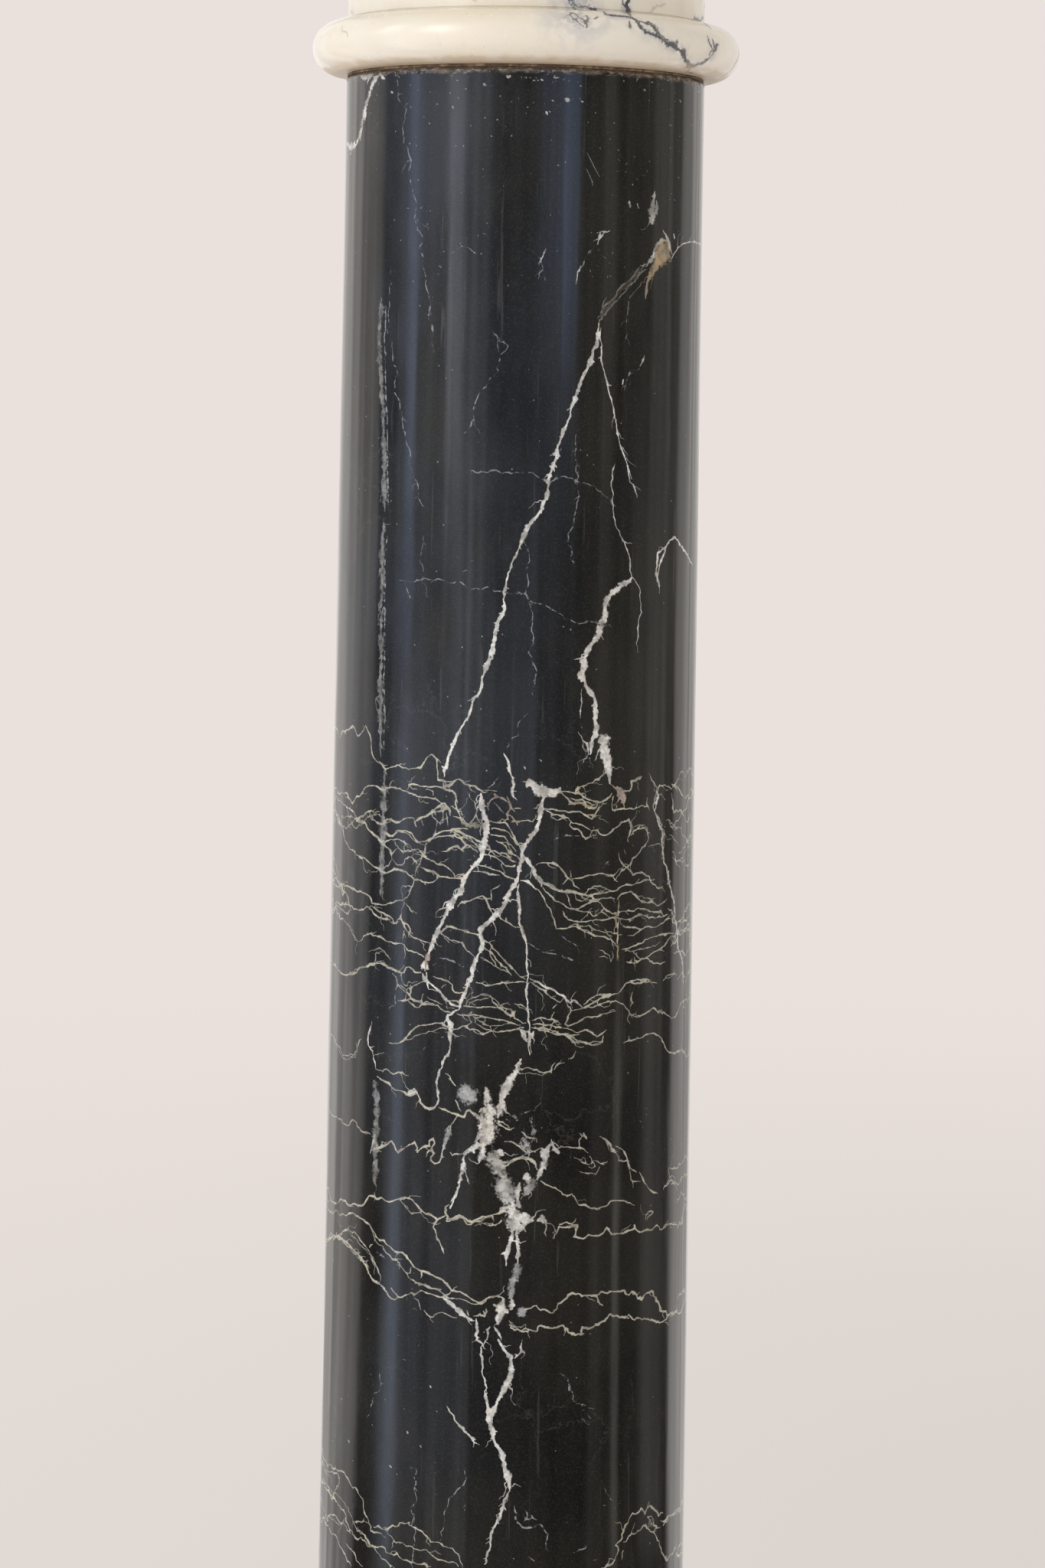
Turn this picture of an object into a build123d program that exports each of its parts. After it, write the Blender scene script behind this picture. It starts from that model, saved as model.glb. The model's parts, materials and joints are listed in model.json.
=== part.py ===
from build123d import *

import math
import os

# A marble pedestal column. A black shaft stands between a cream capital and a cream base, on a
# square plinth and under a square abacus. An iron tie rod down the middle clamps the stones, which
# are bedded on thin seams of mastic. Millimetres, +Z up, origin at the middle of the plinth's foot.

# Plinth and abacus: square slabs that stand out a little beyond the mouldings they meet
plinth_margin = 10.5
plinth_height = 70.0
abacus_overhang = 19.6
abacus_height = 32.0
slab_corner_radius = 3.0
slab_arris = 1.5

# Shaft, a little thinner at the top
shaft_length = 780.0
shaft_top_radius = 82.5
shaft_bottom_radius = 88.5
shaft_arris = 1.2

# Capital: bead, quirk, necking, two annulets and a quarter-round echinus
bead_height = 23.4
bead_projection = 15.8
quirk_height = 1.6
quirk_depth = 1.2
neck_setback = 0.5
neck_height = 30.0
annulet_height = 4.0
annulet_step = 3.2
echinus_height = 20.0
echinus_projection = 17.0
capital_lip = 4.0

# Base: torus, listel, cavetto and the seat of the shaft
torus_height = 36.0
base_listel_height = 5.0
base_listel_ledge = 2.0
cavetto_radius = 10.0
seat_height = 11.0
seat_projection = 6.0

# Mastic seams between the stones, raked back from the face
seam_height = 1.2
seam_setback = 0.9

# Tie rod with its nuts, washers and the recesses that hide them
rod_radius = 7.0
rod_clearance = 2.0
rod_end_chamfer = 1.2
rod_past_nut = 4.0
nut_sides = 6
nut_across_flats = 22.0
nut_height = 11.0
nut_corner_chamfer = 1.0
washer_radius = 22.0
washer_height = 3.0
washer_clearance = 0.5
recess_clearance = 5.5
recess_spare_depth = 4.0

# Iron dowels that locate the abacus on the capital
dowel_count = 2
dowel_radius = 4.0
dowel_bite = 16.0
dowel_clearance = 0.3
dowel_circle_radius = 58.0

# Heights of the stack, from the foot up
plinth_top = plinth_height
base_bottom = plinth_top + seam_height
base_height = torus_height + base_listel_height + cavetto_radius + seat_height
base_top = base_bottom + base_height
shaft_bottom = base_top + seam_height
shaft_top = shaft_bottom + shaft_length
capital_bottom = shaft_top + seam_height
capital_height = (
    bead_height + quirk_height + neck_height + 2 * annulet_height + echinus_height + capital_lip
)
capital_top = capital_bottom + capital_height
abacus_bottom = capital_top + seam_height
abacus_top = abacus_bottom + abacus_height

# Radii that follow from the shaft, so that the mouldings keep fitting it
bore_radius = rod_radius + rod_clearance
bead_radius = bead_height / 2
bead_centre_radius = shaft_top_radius + bead_projection - bead_radius
neck_radius = shaft_top_radius - neck_setback
quirk_radius = neck_radius - quirk_depth
lower_annulet_radius = neck_radius + annulet_step
upper_annulet_radius = lower_annulet_radius + annulet_step
echinus_radius = upper_annulet_radius + echinus_projection
abacus_side = 2 * (echinus_radius + abacus_overhang)
seat_radius = shaft_bottom_radius + seat_projection
cavetto_foot_radius = seat_radius + cavetto_radius
base_listel_radius = cavetto_foot_radius + base_listel_ledge
torus_radius = torus_height / 2
torus_centre_radius = base_listel_radius
plinth_side = 2 * (torus_centre_radius + torus_radius + plinth_margin)
nut_corner_radius = nut_across_flats / 2 / math.cos(math.pi / nut_sides)
recess_radius = washer_radius + recess_clearance
recess_depth = washer_height + nut_height + rod_past_nut + recess_spare_depth

# Heights of the clamp
plinth_recess_roof = recess_depth
capital_recess_floor = capital_top - recess_depth
lower_nut_top = plinth_recess_roof - washer_height
upper_nut_bottom = capital_recess_floor + washer_height
rod_bottom = lower_nut_top - nut_height - rod_past_nut
rod_top = upper_nut_bottom + nut_height + rod_past_nut
dowel_bottom = capital_top - dowel_bite
dowel_length = 2 * dowel_bite + seam_height - dowel_clearance

os.makedirs("parts", exist_ok=True)

# Plinth: a square slab, recessed underneath for the lower nut
with BuildPart() as plinth:
    with BuildSketch(Plane.XY):
        RectangleRounded(plinth_side, plinth_side, slab_corner_radius)
    extrude(amount=plinth_height)
    chamfer(plinth.faces().sort_by(Axis.Z)[-1].edges(), slab_arris)
    chamfer(plinth.faces().sort_by(Axis.Z)[0].edges(), slab_arris)
    with Locations(Plane(origin=(0, 0, 0), x_dir=(1, 0, 0), z_dir=(0, 0, -1))):
        CounterBoreHole(bore_radius, recess_radius, recess_depth)
plinth.part.label = "plinth"
export_step(plinth.part, "parts/plinth.step")

# Base moulding: torus, listel, cavetto and seat, turned in one stone
with BuildPart() as base_moulding:
    with BuildSketch(Plane.XZ):
        with BuildLine():
            torus_foot = (torus_centre_radius, base_bottom)
            torus_middle = (torus_centre_radius + torus_radius, base_bottom + torus_radius)
            torus_crown = (torus_centre_radius, base_bottom + torus_height)
            listel_crown = (base_listel_radius, base_bottom + torus_height + base_listel_height)
            cavetto_foot = (cavetto_foot_radius, listel_crown[1])
            cavetto_crown = (seat_radius, base_top - seat_height)
            Polyline((0, base_bottom), torus_foot)
            ThreePointArc(torus_foot, torus_middle, torus_crown)
            Polyline(torus_crown, listel_crown, cavetto_foot)
            CenterArc(
                (cavetto_foot_radius, cavetto_crown[1]), cavetto_radius, start_angle=180, arc_size=90
            )
            Polyline(cavetto_crown, (seat_radius, base_top), (0, base_top), (0, base_bottom))
        make_face()
    revolve(axis=Axis.Z)
    with Locations((0, 0, base_top)):
        Hole(bore_radius)
base_moulding.part.label = "base_moulding"
export_step(base_moulding.part, "parts/base_moulding.step")

# Shaft: one turned stone, drilled end to end
with BuildPart() as shaft:
    with BuildSketch(Plane.XZ):
        with BuildLine():
            Polyline(
                (0, shaft_bottom),
                (shaft_bottom_radius, shaft_bottom),
                (shaft_top_radius, shaft_top),
                (0, shaft_top),
                close=True,
            )
        make_face()
    revolve(axis=Axis.Z)
    shaft_rims = shaft.edges().filter_by(GeomType.CIRCLE)
    chamfer(shaft_rims, shaft_arris)
    with Locations((0, 0, shaft_top)):
        Hole(bore_radius)
shaft.part.label = "shaft"
export_step(shaft.part, "parts/shaft.step")

# Capital: the bead over the shaft, the necking and the echinus, turned in one stone
with BuildPart() as capital:
    with BuildSketch(Plane.XZ):
        with BuildLine():
            bead_foot = (bead_centre_radius, capital_bottom)
            bead_middle = (bead_centre_radius + bead_radius, capital_bottom + bead_radius)
            bead_crown = (bead_centre_radius, capital_bottom + bead_height)
            quirk_top = bead_crown[1] + quirk_height
            neck_top = quirk_top + neck_height
            lower_annulet_top = neck_top + annulet_height
            upper_annulet_top = lower_annulet_top + annulet_height
            echinus_top = upper_annulet_top + echinus_height
            echinus_crown = (echinus_radius, echinus_top)
            Polyline((0, capital_bottom), bead_foot)
            ThreePointArc(bead_foot, bead_middle, bead_crown)
            Polyline(
                bead_crown,
                (quirk_radius, bead_crown[1]),
                (quirk_radius, quirk_top),
                (neck_radius, quirk_top),
                (neck_radius, neck_top),
                (lower_annulet_radius, neck_top),
                (lower_annulet_radius, lower_annulet_top),
                (upper_annulet_radius, lower_annulet_top),
                (upper_annulet_radius, upper_annulet_top),
            )
            EllipticalCenterArc(
                (upper_annulet_radius, echinus_top),
                echinus_projection,
                echinus_height,
                start_angle=-90,
                arc_size=90,
            )
            Polyline(
                echinus_crown,
                (echinus_radius, capital_top),
                (0, capital_top),
                (0, capital_bottom),
            )
        make_face()
    revolve(axis=Axis.Z)
    with Locations((0, 0, capital_top)):
        CounterBoreHole(bore_radius, recess_radius, recess_depth)
        with PolarLocations(dowel_circle_radius, dowel_count):
            Hole(dowel_radius + dowel_clearance, depth=dowel_bite)
capital.part.label = "capital"
export_step(capital.part, "parts/capital.step")

# Abacus: the square top slab, which the dowels locate from below
with BuildPart() as abacus:
    with BuildSketch(Plane.XY.offset(abacus_bottom)):
        RectangleRounded(abacus_side, abacus_side, slab_corner_radius)
    extrude(amount=abacus_height)
    chamfer(abacus.faces().sort_by(Axis.Z)[-1].edges(), slab_arris)
    chamfer(abacus.faces().sort_by(Axis.Z)[0].edges(), slab_arris)
    with Locations(Plane(origin=(0, 0, abacus_bottom), x_dir=(1, 0, 0), z_dir=(0, 0, -1))):
        with PolarLocations(dowel_circle_radius, dowel_count):
            Hole(dowel_radius + dowel_clearance, depth=dowel_bite)
abacus.part.label = "abacus"
export_step(abacus.part, "parts/abacus.step")

# Mastic seams: each is a flat ring, as wide as the smaller face that it beds
seams = {
    "plinth_seam": (plinth_top, torus_centre_radius - seam_setback, bore_radius),
    "base_seam": (base_top, shaft_bottom_radius - shaft_arris - seam_setback, bore_radius),
    "collar_seam": (shaft_top, shaft_top_radius - shaft_arris - seam_setback, bore_radius),
    "abacus_seam": (capital_top, echinus_radius - seam_setback, recess_radius),
}
for seam_name, (seam_bottom, seam_outer_radius, seam_inner_radius) in seams.items():
    with BuildPart() as seam:
        with BuildSketch(Plane.XY.offset(seam_bottom)):
            Circle(seam_outer_radius)
            Circle(seam_inner_radius, mode=Mode.SUBTRACT)
            if seam_name == "abacus_seam":
                with PolarLocations(dowel_circle_radius, dowel_count):
                    Circle(dowel_radius, mode=Mode.SUBTRACT)
        extrude(amount=seam_height)
    seam.part.label = seam_name
    export_step(seam.part, f"parts/{seam_name}.step")

# Tie rod: one iron rod from the plinth's recess to the capital's
with BuildPart() as tie_rod:
    with BuildSketch(Plane.XY.offset(rod_bottom)):
        Circle(rod_radius)
    extrude(amount=rod_top - rod_bottom)
    chamfer(tie_rod.edges().filter_by(GeomType.CIRCLE), rod_end_chamfer)
tie_rod.part.label = "tie_rod"
export_step(tie_rod.part, "parts/tie_rod.step")

# Washers: flat rings that spread the load on the stone
washers = {"lower_washer": lower_nut_top, "upper_washer": capital_recess_floor}
for washer_name, washer_bottom in washers.items():
    with BuildPart() as washer:
        with BuildSketch(Plane.XY.offset(washer_bottom)):
            Circle(washer_radius)
            Circle(rod_radius + washer_clearance, mode=Mode.SUBTRACT)
        extrude(amount=washer_height)
    washer.part.label = washer_name
    export_step(washer.part, f"parts/{washer_name}.step")

# Nuts: hexagons with their corners turned off, screwed on the rod
nuts = {"lower_nut": lower_nut_top - nut_height, "upper_nut": upper_nut_bottom}
for nut_name, nut_bottom in nuts.items():
    with BuildPart() as nut:
        with BuildSketch(Plane.XY.offset(nut_bottom)):
            RegularPolygon(nut_across_flats / 2, nut_sides, major_radius=False)
        extrude(amount=nut_height)
        with BuildSketch(Plane.XZ):
            with BuildLine():
                Polyline(
                    (0, nut_bottom),
                    (nut_corner_radius - nut_corner_chamfer, nut_bottom),
                    (nut_corner_radius, nut_bottom + nut_corner_chamfer),
                    (nut_corner_radius, nut_bottom + nut_height - nut_corner_chamfer),
                    (nut_corner_radius - nut_corner_chamfer, nut_bottom + nut_height),
                    (0, nut_bottom + nut_height),
                    close=True,
                )
            make_face()
        revolve(axis=Axis.Z, mode=Mode.INTERSECT)
        with Locations((0, 0, nut_bottom + nut_height)):
            Hole(rod_radius)
    nut.part.label = nut_name
    export_step(nut.part, f"parts/{nut_name}.step")

# Dowels: iron pins standing in the capital and reaching up into the abacus
with BuildPart() as abacus_dowels:
    with BuildSketch(Plane.XY.offset(dowel_bottom)):
        with PolarLocations(dowel_circle_radius, dowel_count):
            Circle(dowel_radius)
    extrude(amount=dowel_length)
abacus_dowels.part.label = "abacus_dowels"
export_step(abacus_dowels.part, "parts/abacus_dowels.step")
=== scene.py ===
"""Looks of the marble column: a veined black shaft under a cream collar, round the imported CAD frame."""

import json
import logging
import math
from collections.abc import Iterator
from dataclasses import dataclass, field
from enum import Enum

import bpy
import numpy as np
from mathutils import Matrix, Vector
from mathutils.bvhtree import BVHTree
from mathutils.geometry import delaunay_2d_cdt
from mathutils.kdtree import KDTree


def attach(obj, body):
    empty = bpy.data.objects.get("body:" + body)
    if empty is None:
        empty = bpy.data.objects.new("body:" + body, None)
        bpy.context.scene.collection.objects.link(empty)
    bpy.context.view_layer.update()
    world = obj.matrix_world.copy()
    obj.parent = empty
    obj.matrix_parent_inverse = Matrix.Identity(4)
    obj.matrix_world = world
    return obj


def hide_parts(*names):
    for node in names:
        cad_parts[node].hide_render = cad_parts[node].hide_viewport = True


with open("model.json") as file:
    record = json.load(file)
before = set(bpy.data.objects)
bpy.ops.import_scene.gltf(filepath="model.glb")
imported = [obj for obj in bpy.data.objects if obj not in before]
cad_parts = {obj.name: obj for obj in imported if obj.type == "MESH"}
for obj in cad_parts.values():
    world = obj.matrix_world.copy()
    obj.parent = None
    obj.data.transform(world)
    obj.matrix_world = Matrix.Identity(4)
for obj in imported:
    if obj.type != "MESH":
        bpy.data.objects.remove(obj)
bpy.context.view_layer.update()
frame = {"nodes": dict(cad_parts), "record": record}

LOG = logging.getLogger("marble_column")
BODY = "root"
VEIN_ATTRIBUTE = "vein"
FAR_MEASURE = -2.0

Colour = tuple[float, float, float]
Pair = tuple[float, float]


class Tone(Enum):
    """Colour of a vein, as its place on the ramp of vein colours."""

    INK = 0.0
    SMOKE = 0.2
    ASH = 0.3
    WHITE = 0.4
    CREAM = 0.6
    GOLD = 0.8
    ROSE = 1.0


TONE_COLOURS: tuple[tuple[Tone, Colour], ...] = (
    (Tone.INK, (0.060, 0.066, 0.082)),
    (Tone.SMOKE, (0.44, 0.46, 0.50)),
    (Tone.WHITE, (0.82, 0.81, 0.77)),
    (Tone.CREAM, (0.62, 0.585, 0.47)),
    (Tone.GOLD, (0.52, 0.37, 0.18)),
    (Tone.ROSE, (0.50, 0.38, 0.33)),
)


@dataclass(frozen=True)
class VeinFamily:
    """Veins of one look, as they run in the photograph.

    half is half a vein's width in pixels, weight is how much it hides the stone, and jitter is how
    far its course strays. Each path is pixels of the photograph, x and y in turn.
    """

    name: str
    half: float
    tone: Tone
    weight: float
    jitter: float
    paths: tuple[tuple[int, ...], ...]


# What runs in the shaft, from the collar down. Every number is a pixel of the photograph.
SHAFT_VEINS = (
    VeinFamily("corner", 3.6, Tone.WHITE, 0.92, 0.07, (
        (495, 98, 485, 116, 479, 135, 473, 159, 470, 179, 465, 190, 453, 186),
        (488, 97, 480, 101, 472, 100), (497, 97, 503, 103),
    )),
    VeinFamily("upper broad", 2.2, Tone.WHITE, 0.95, 0.05, (
        (783, 418, 782, 428, 780, 444, 772, 471, 758, 499, 748, 527, 736, 562, 728, 584, 716, 627, 708,
         665, 693, 683, 677, 718),
    )),
    VeinFamily("mauve band", 3.0, Tone.ROSE, 0.1, 0.05, (
        (782, 424, 790, 406, 803, 390, 815, 374, 828, 362, 842, 347),
    )),
    VeinFamily("mauve edges", 0.6, Tone.SMOKE, 0.42, 0.08, (
        (785, 418, 796, 402, 806, 392, 820, 376, 832, 364, 844, 352),
        (780, 416, 787, 404, 799, 392, 806, 380, 818, 370, 828, 360, 836, 348),
        (833, 375, 821, 392, 819, 412, 818, 431, 815, 450), (792, 388, 787, 398, 785, 412),
    )),
    VeinFamily("upper white", 1.6, Tone.WHITE, 1.0, 0.07, (
        (677, 718, 663, 754, 659, 774, 659, 797, 645, 837, 633, 876, 627, 904, 613, 932, 598, 959, 586,
         987, 580, 1015),
        (861, 775, 857, 750, 859, 722, 870, 714, 880, 702, 890, 714, 900, 730, 904, 738),
        (658, 984, 666, 1008, 669, 1031, 675, 1045), (659, 797, 650, 820, 641, 850, 634, 878),
        (870, 714, 862, 735, 858, 760),
    )),
    VeinFamily("upper branch", 0.95, Tone.WHITE, 1.0, 0.04, (
        (785, 428, 786, 450, 785, 471, 790, 490, 795, 511, 801, 532, 805, 554, 809, 578, 819, 606, 825,
         626),
    )),
    VeinFamily("upper thin", 0.8, Tone.WHITE, 0.8, 0.09, (
        (803, 606, 801, 645, 803, 679, 819, 718, 825, 754), (760, 900, 760, 919, 758, 938),
        (755, 956, 761, 967, 768, 986), (826, 754, 836, 770, 838, 800, 831, 842), (819, 606, 832, 650),
    )),
    VeinFamily("upper stout", 3.2, Tone.WHITE, 1.0, 0.08, (
        (825, 754, 811, 766, 791, 785, 789, 809, 780, 833, 766, 853, 758, 880, 768, 900, 777, 919, 777,
         941, 780, 951, 772, 970, 771, 985),
        (790, 965, 787, 976, 791, 992, 793, 1008, 796, 1023), (688, 1028, 691, 1021, 704, 1031, 723, 1034),
    )),
    VeinFamily("bright knots", 4.6, Tone.WHITE, 1.0, 0.1, (
        (788, 962, 789, 976, 792, 994), (628, 1045, 628, 1056),
        (692, 1026, 702, 1031, 712, 1035, 724, 1034, 732, 1034), (556, 1256, 555, 1268),
        (783, 968, 791, 966, 797, 964), (788, 968, 790, 982, 794, 998, 797, 1014),
    )),
    VeinFamily("arc", 0.95, Tone.WHITE, 0.9, 0.02, (
        (877, 338, 881, 330, 886, 323, 892, 318, 900, 316, 908, 316, 915, 320, 920, 327),
    )),
    VeinFamily("gold patches", 8.6, Tone.GOLD, 0.85, 0.06, (
        (869, 321, 867, 329, 863, 337, 859, 344), (866, 326, 861, 336, 857, 346),
    )),
    VeinFamily("gold tail", 4.6, Tone.GOLD, 0.74, 0.06, (
        (862, 342, 855, 349, 850, 357, 847, 365),
    )),
    VeinFamily("gold tip", 2.2, Tone.ROSE, 0.6, 0.05, (
        (851, 352, 847, 362, 845, 372, 844, 382, 843, 390),
    )),
    VeinFamily("gold rim", 1.8, Tone.WHITE, 0.72, 0.06, (
        (866, 301, 870, 308, 873, 315, 875, 324, 878, 332),
        (870, 315, 864, 314, 858, 319, 855, 326, 853, 334, 850, 341, 845, 347), (880, 306, 881, 311),
        (853, 330, 854, 336),
    )),
    VeinFamily("spindle", 5.6, Tone.WHITE, 0.76, 0.05, (
        (853, 262, 852, 270, 852, 278, 853, 286),
    )),
    VeinFamily("spindle tail", 2.2, Tone.WHITE, 0.66, 0.05, (
        (855, 250, 854, 258, 853, 266), (857, 262, 858, 272, 858, 280), (848, 284, 852, 292),
        (822, 264, 823, 270), (784, 304, 782, 312),
    )),
    VeinFamily("upper dash", 1.0, Tone.WHITE, 0.85, 0.08, (
        (797, 301, 789, 303, 784, 311, 781, 319), (758, 347, 754, 360, 752, 371),
        (713, 325, 709, 335, 703, 345), (842, 464, 840, 471, 836, 478), (814, 496, 813, 502),
        (832, 266, 834, 272),
    )),
    VeinFamily("scratches", 0.45, Tone.WHITE, 0.55, 0.01, (
        (767, 200, 775, 216, 783, 231), (766, 221, 770, 229, 774, 238),
    )),
    VeinFamily("upper faint", 0.7, Tone.SMOKE, 0.55, 0.1, (
        (519, 104, 528, 159, 538, 210, 544, 266, 552, 309, 556, 373, 560, 416, 568, 460),
        (511, 353, 509, 396, 513, 456, 515, 511, 525, 543, 536, 590, 546, 649, 556, 663),
        (689, 932, 677, 961, 661, 978),
        (610, 613, 640, 615, 672, 618, 700, 621, 736, 622, 768, 632, 790, 648, 802, 660),
        (640, 430, 664, 452, 652, 476, 636, 505, 618, 540, 606, 566), (781, 319, 767, 333, 758, 350),
        (695, 328, 707, 344, 712, 366), (590, 330, 606, 322, 622, 332),
        (522, 758, 560, 757, 592, 762, 622, 768, 650, 772, 686, 776, 712, 790, 735, 804, 760, 814, 800,
         820),
        (530, 762, 536, 780, 529, 800),
        (683, 706, 688, 742, 690, 780, 694, 820, 690, 852, 700, 880, 696, 908),
        (756, 560, 752, 600, 756, 640, 750, 684, 742, 712, 750, 742), (841, 466, 822, 486, 815, 510),
        (553, 700, 548, 730, 556, 752),
    )),
    VeinFamily("fissure", 3.6, Tone.ASH, 0.4, 0.02, (
        (498, 388, 496, 430, 497, 480, 500, 530, 501, 580, 502, 630, 503, 668),
        (502, 676, 500, 700, 499, 760, 498, 820, 497, 880, 497, 930, 498, 990),
    )),
    VeinFamily("fissure edge", 0.9, Tone.SMOKE, 0.7, 0.02, (
        (504, 400, 502, 440, 504, 500, 506, 560, 507, 620, 508, 660),
        (506, 700, 504, 760, 503, 820, 502, 900, 502, 980),
    )),
    VeinFamily("fissure low", 4.4, Tone.ASH, 0.44, 0.02, (
        (503, 1005, 501, 1060, 499, 1110, 497, 1170),
        (489, 1411, 492, 1437, 492, 1462, 491, 1488, 491, 1516, 489, 1546),
    )),
    VeinFamily("heart", 10.0, Tone.WHITE, 1.0, 0.05, (
        (641, 1446, 639, 1454, 637, 1462, 637, 1470, 637, 1478, 635, 1486, 633, 1493),
        (667, 1578, 671, 1586, 673, 1594, 672, 1600),
    )),
    VeinFamily("heart wash", 9.5, Tone.WHITE, 0.66, 0.05, (
        (643, 1507, 646, 1515, 650, 1524, 654, 1533), (656, 1541, 659, 1549, 662, 1558, 664, 1567),
    )),
    VeinFamily("heart grey", 7.4, Tone.ASH, 0.74, 0.08, (
        (612, 1419, 609, 1427, 613, 1434, 618, 1438),
    )),
    VeinFamily("mauve wash", 4.6, Tone.ASH, 0.72, 0.05, (
        (683, 1486, 685, 1494, 687, 1502), (676, 1650, 673, 1662, 670, 1674, 668, 1686, 667, 1695),
        (588, 1472, 585, 1482, 582, 1492, 579, 1500), (700, 1541, 694, 1547, 690, 1554, 684, 1562),
        (678, 1710, 683, 1716),
    )),
    VeinFamily("heart arms", 4.0, Tone.WHITE, 0.98, 0.06, (
        (634, 1420, 636, 1429, 638, 1438, 639, 1447),
        (672, 1400, 668, 1408, 664, 1417, 658, 1425, 655, 1433, 656, 1442, 654, 1451, 650, 1459),
        (633, 1492, 631, 1501, 628, 1510, 626, 1518), (628, 1495, 620, 1499, 612, 1504, 606, 1508),
        (606, 1508, 606, 1518, 603, 1530, 601, 1541, 599, 1552),
        (720, 1492, 716, 1499, 714, 1508, 710, 1519, 706, 1530, 702, 1540),
        (717, 1500, 713, 1510, 711, 1520, 706, 1532), (653, 1502, 656, 1509),
        (684, 1584, 686, 1590, 684, 1597), (657, 1698, 655, 1706, 654, 1714, 652, 1722, 650, 1730),
        (655, 1708, 654, 1720),
    )),
    VeinFamily("heart legs", 2.6, Tone.WHITE, 0.96, 0.05, (
        (599, 1550, 596, 1560, 592, 1569, 588, 1578), (708, 1500, 710, 1507, 712, 1513),
        (722, 1492, 724, 1500, 730, 1506),
        (671, 1602, 669, 1613, 666, 1624, 663, 1635, 661, 1645, 661, 1653),
        (675, 1602, 674, 1612, 676, 1626, 677, 1640, 676, 1650), (668, 1696, 668, 1710),
        (679, 1545, 676, 1554, 676, 1566, 678, 1576), (668, 1564, 670, 1574),
        (577, 1694, 583, 1697, 588, 1702, 595, 1708, 602, 1714, 608, 1719, 613, 1723, 619, 1725),
        (688, 1532, 690, 1543), (683, 1599, 690, 1595, 697, 1594), (703, 1594, 708, 1592, 712, 1596),
        (533, 1429, 538, 1427, 543, 1426), (660, 1578, 655, 1582),
    )),
    VeinFamily("net verticals", 2.9, Tone.WHITE, 1.0, 0.05, (
        (628, 1037, 629, 1053, 634, 1069, 636, 1082, 633, 1096, 630, 1110, 624, 1126, 612, 1139, 604, 1158,
         599, 1168, 593, 1174, 588, 1182, 583, 1193, 578, 1205, 573, 1213, 570, 1221, 565, 1232, 562, 1241,
         560, 1246),
        (712, 1037, 707, 1056, 702, 1079, 693, 1094, 685, 1104, 681, 1124, 677, 1144),
        (681, 1383, 675, 1398, 667, 1411, 660, 1424, 653, 1437),
        (651, 1750, 658, 1763, 668, 1774, 668, 1792, 662, 1809, 652, 1826, 643, 1844, 638, 1855, 644, 1872,
         647, 1886, 656, 1899, 661, 1922, 666, 1947),
    )),
    VeinFamily("net threads", 1.4, Tone.WHITE, 0.92, 0.09, (
        (600, 1318, 592, 1322, 586, 1326),
        (589, 1362, 585, 1378, 574, 1397, 570, 1414, 572, 1432, 570, 1444),
        (692, 1340, 691, 1356, 692, 1378), (486, 1334, 483, 1346, 481, 1362, 489, 1385, 491, 1396),
        (622, 1722, 623, 1750, 634, 1762), (640, 1733, 636, 1750), (645, 1733, 655, 1750),
        (634, 1750, 630, 1775, 630, 1794, 636, 1813, 637, 1836, 636, 1853),
        (682, 1750, 680, 1767, 672, 1774),
        (666, 1947, 658, 1962, 654, 1976, 643, 1999, 641, 2018, 633, 2043),
        (584, 1837, 593, 1849, 605, 1865, 616, 1878, 626, 1887),
        (861, 1025, 855, 1057, 863, 1080, 867, 1124, 871, 1136, 874, 1155, 879, 1174, 881, 1200, 885, 1222,
         889, 1248, 892, 1267, 893, 1289),
    )),
    VeinFamily("rose threads", 1.2, Tone.ROSE, 0.6, 0.1, (
        (559, 1246, 556, 1258, 555, 1268), (796, 1023, 809, 1031, 814, 1043, 815, 1053),
        (690, 2033, 694, 2036, 698, 2039), (645, 1048, 652, 1055, 658, 1062),
    )),
    VeinFamily("gold threads", 0.9, Tone.GOLD, 0.8, 0.08, (
        (808, 1172, 808, 1184, 807, 1190, 807, 1220, 806, 1254),
        (742, 1050, 755, 1048, 771, 1053, 780, 1050), (768, 1064, 777, 1066),
        (865, 1085, 867, 1104, 867, 1126), (679, 1206, 685, 1225),
    )),
    VeinFamily("web", 3.4, Tone.CREAM, 0.5, 0.1, (
        (605, 1074, 613, 1079, 622, 1080, 630, 1078), (575, 1052, 580, 1056, 586, 1058),
        (466, 1068, 470, 1074),
    )),
    VeinFamily("knot rose", 4.0, Tone.ROSE, 0.85, 0.1, (
        (806, 1028, 810, 1033, 813, 1040, 815, 1048), (559, 1247, 560, 1254),
    )),
    VeinFamily("pale line", 1.3, Tone.WHITE, 0.95, 0.02, (
        (808, 1190, 807, 1196), (808, 1201, 807, 1212, 807, 1222, 806, 1232),
    )),
    VeinFamily("knot turn", 2.8, Tone.WHITE, 0.95, 0.08, (
        (593, 1173, 590, 1180, 588, 1185), (632, 1076, 634, 1084), (629, 1046, 630, 1056),
    )),
    VeinFamily("net middle", 2.5, Tone.WHITE, 0.96, 0.05, (
        (677, 1144, 672, 1156, 665, 1168, 660, 1180, 655, 1187, 647, 1196, 641, 1202, 633, 1208, 628, 1214,
         627, 1221, 631, 1230, 629, 1238, 624, 1248, 620, 1258, 617, 1268, 614, 1280, 610, 1290, 605, 1300,
         601, 1313, 600, 1318),
        (684, 1118, 691, 1127, 697, 1135, 700, 1144, 706, 1151, 714, 1155, 722, 1160, 730, 1164),
        (585, 1325, 584, 1332, 588, 1338, 589, 1346, 587, 1354, 589, 1364),
        (680, 1345, 684, 1352, 688, 1360), (697, 1347, 693, 1354, 690, 1362),
    )),
    VeinFamily("net middle thin", 1.5, Tone.WHITE, 0.96, 0.05, (
        (678, 1155, 676, 1165, 678, 1174, 679, 1185, 678, 1196, 678, 1206, 681, 1214, 684, 1222, 687, 1231,
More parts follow.
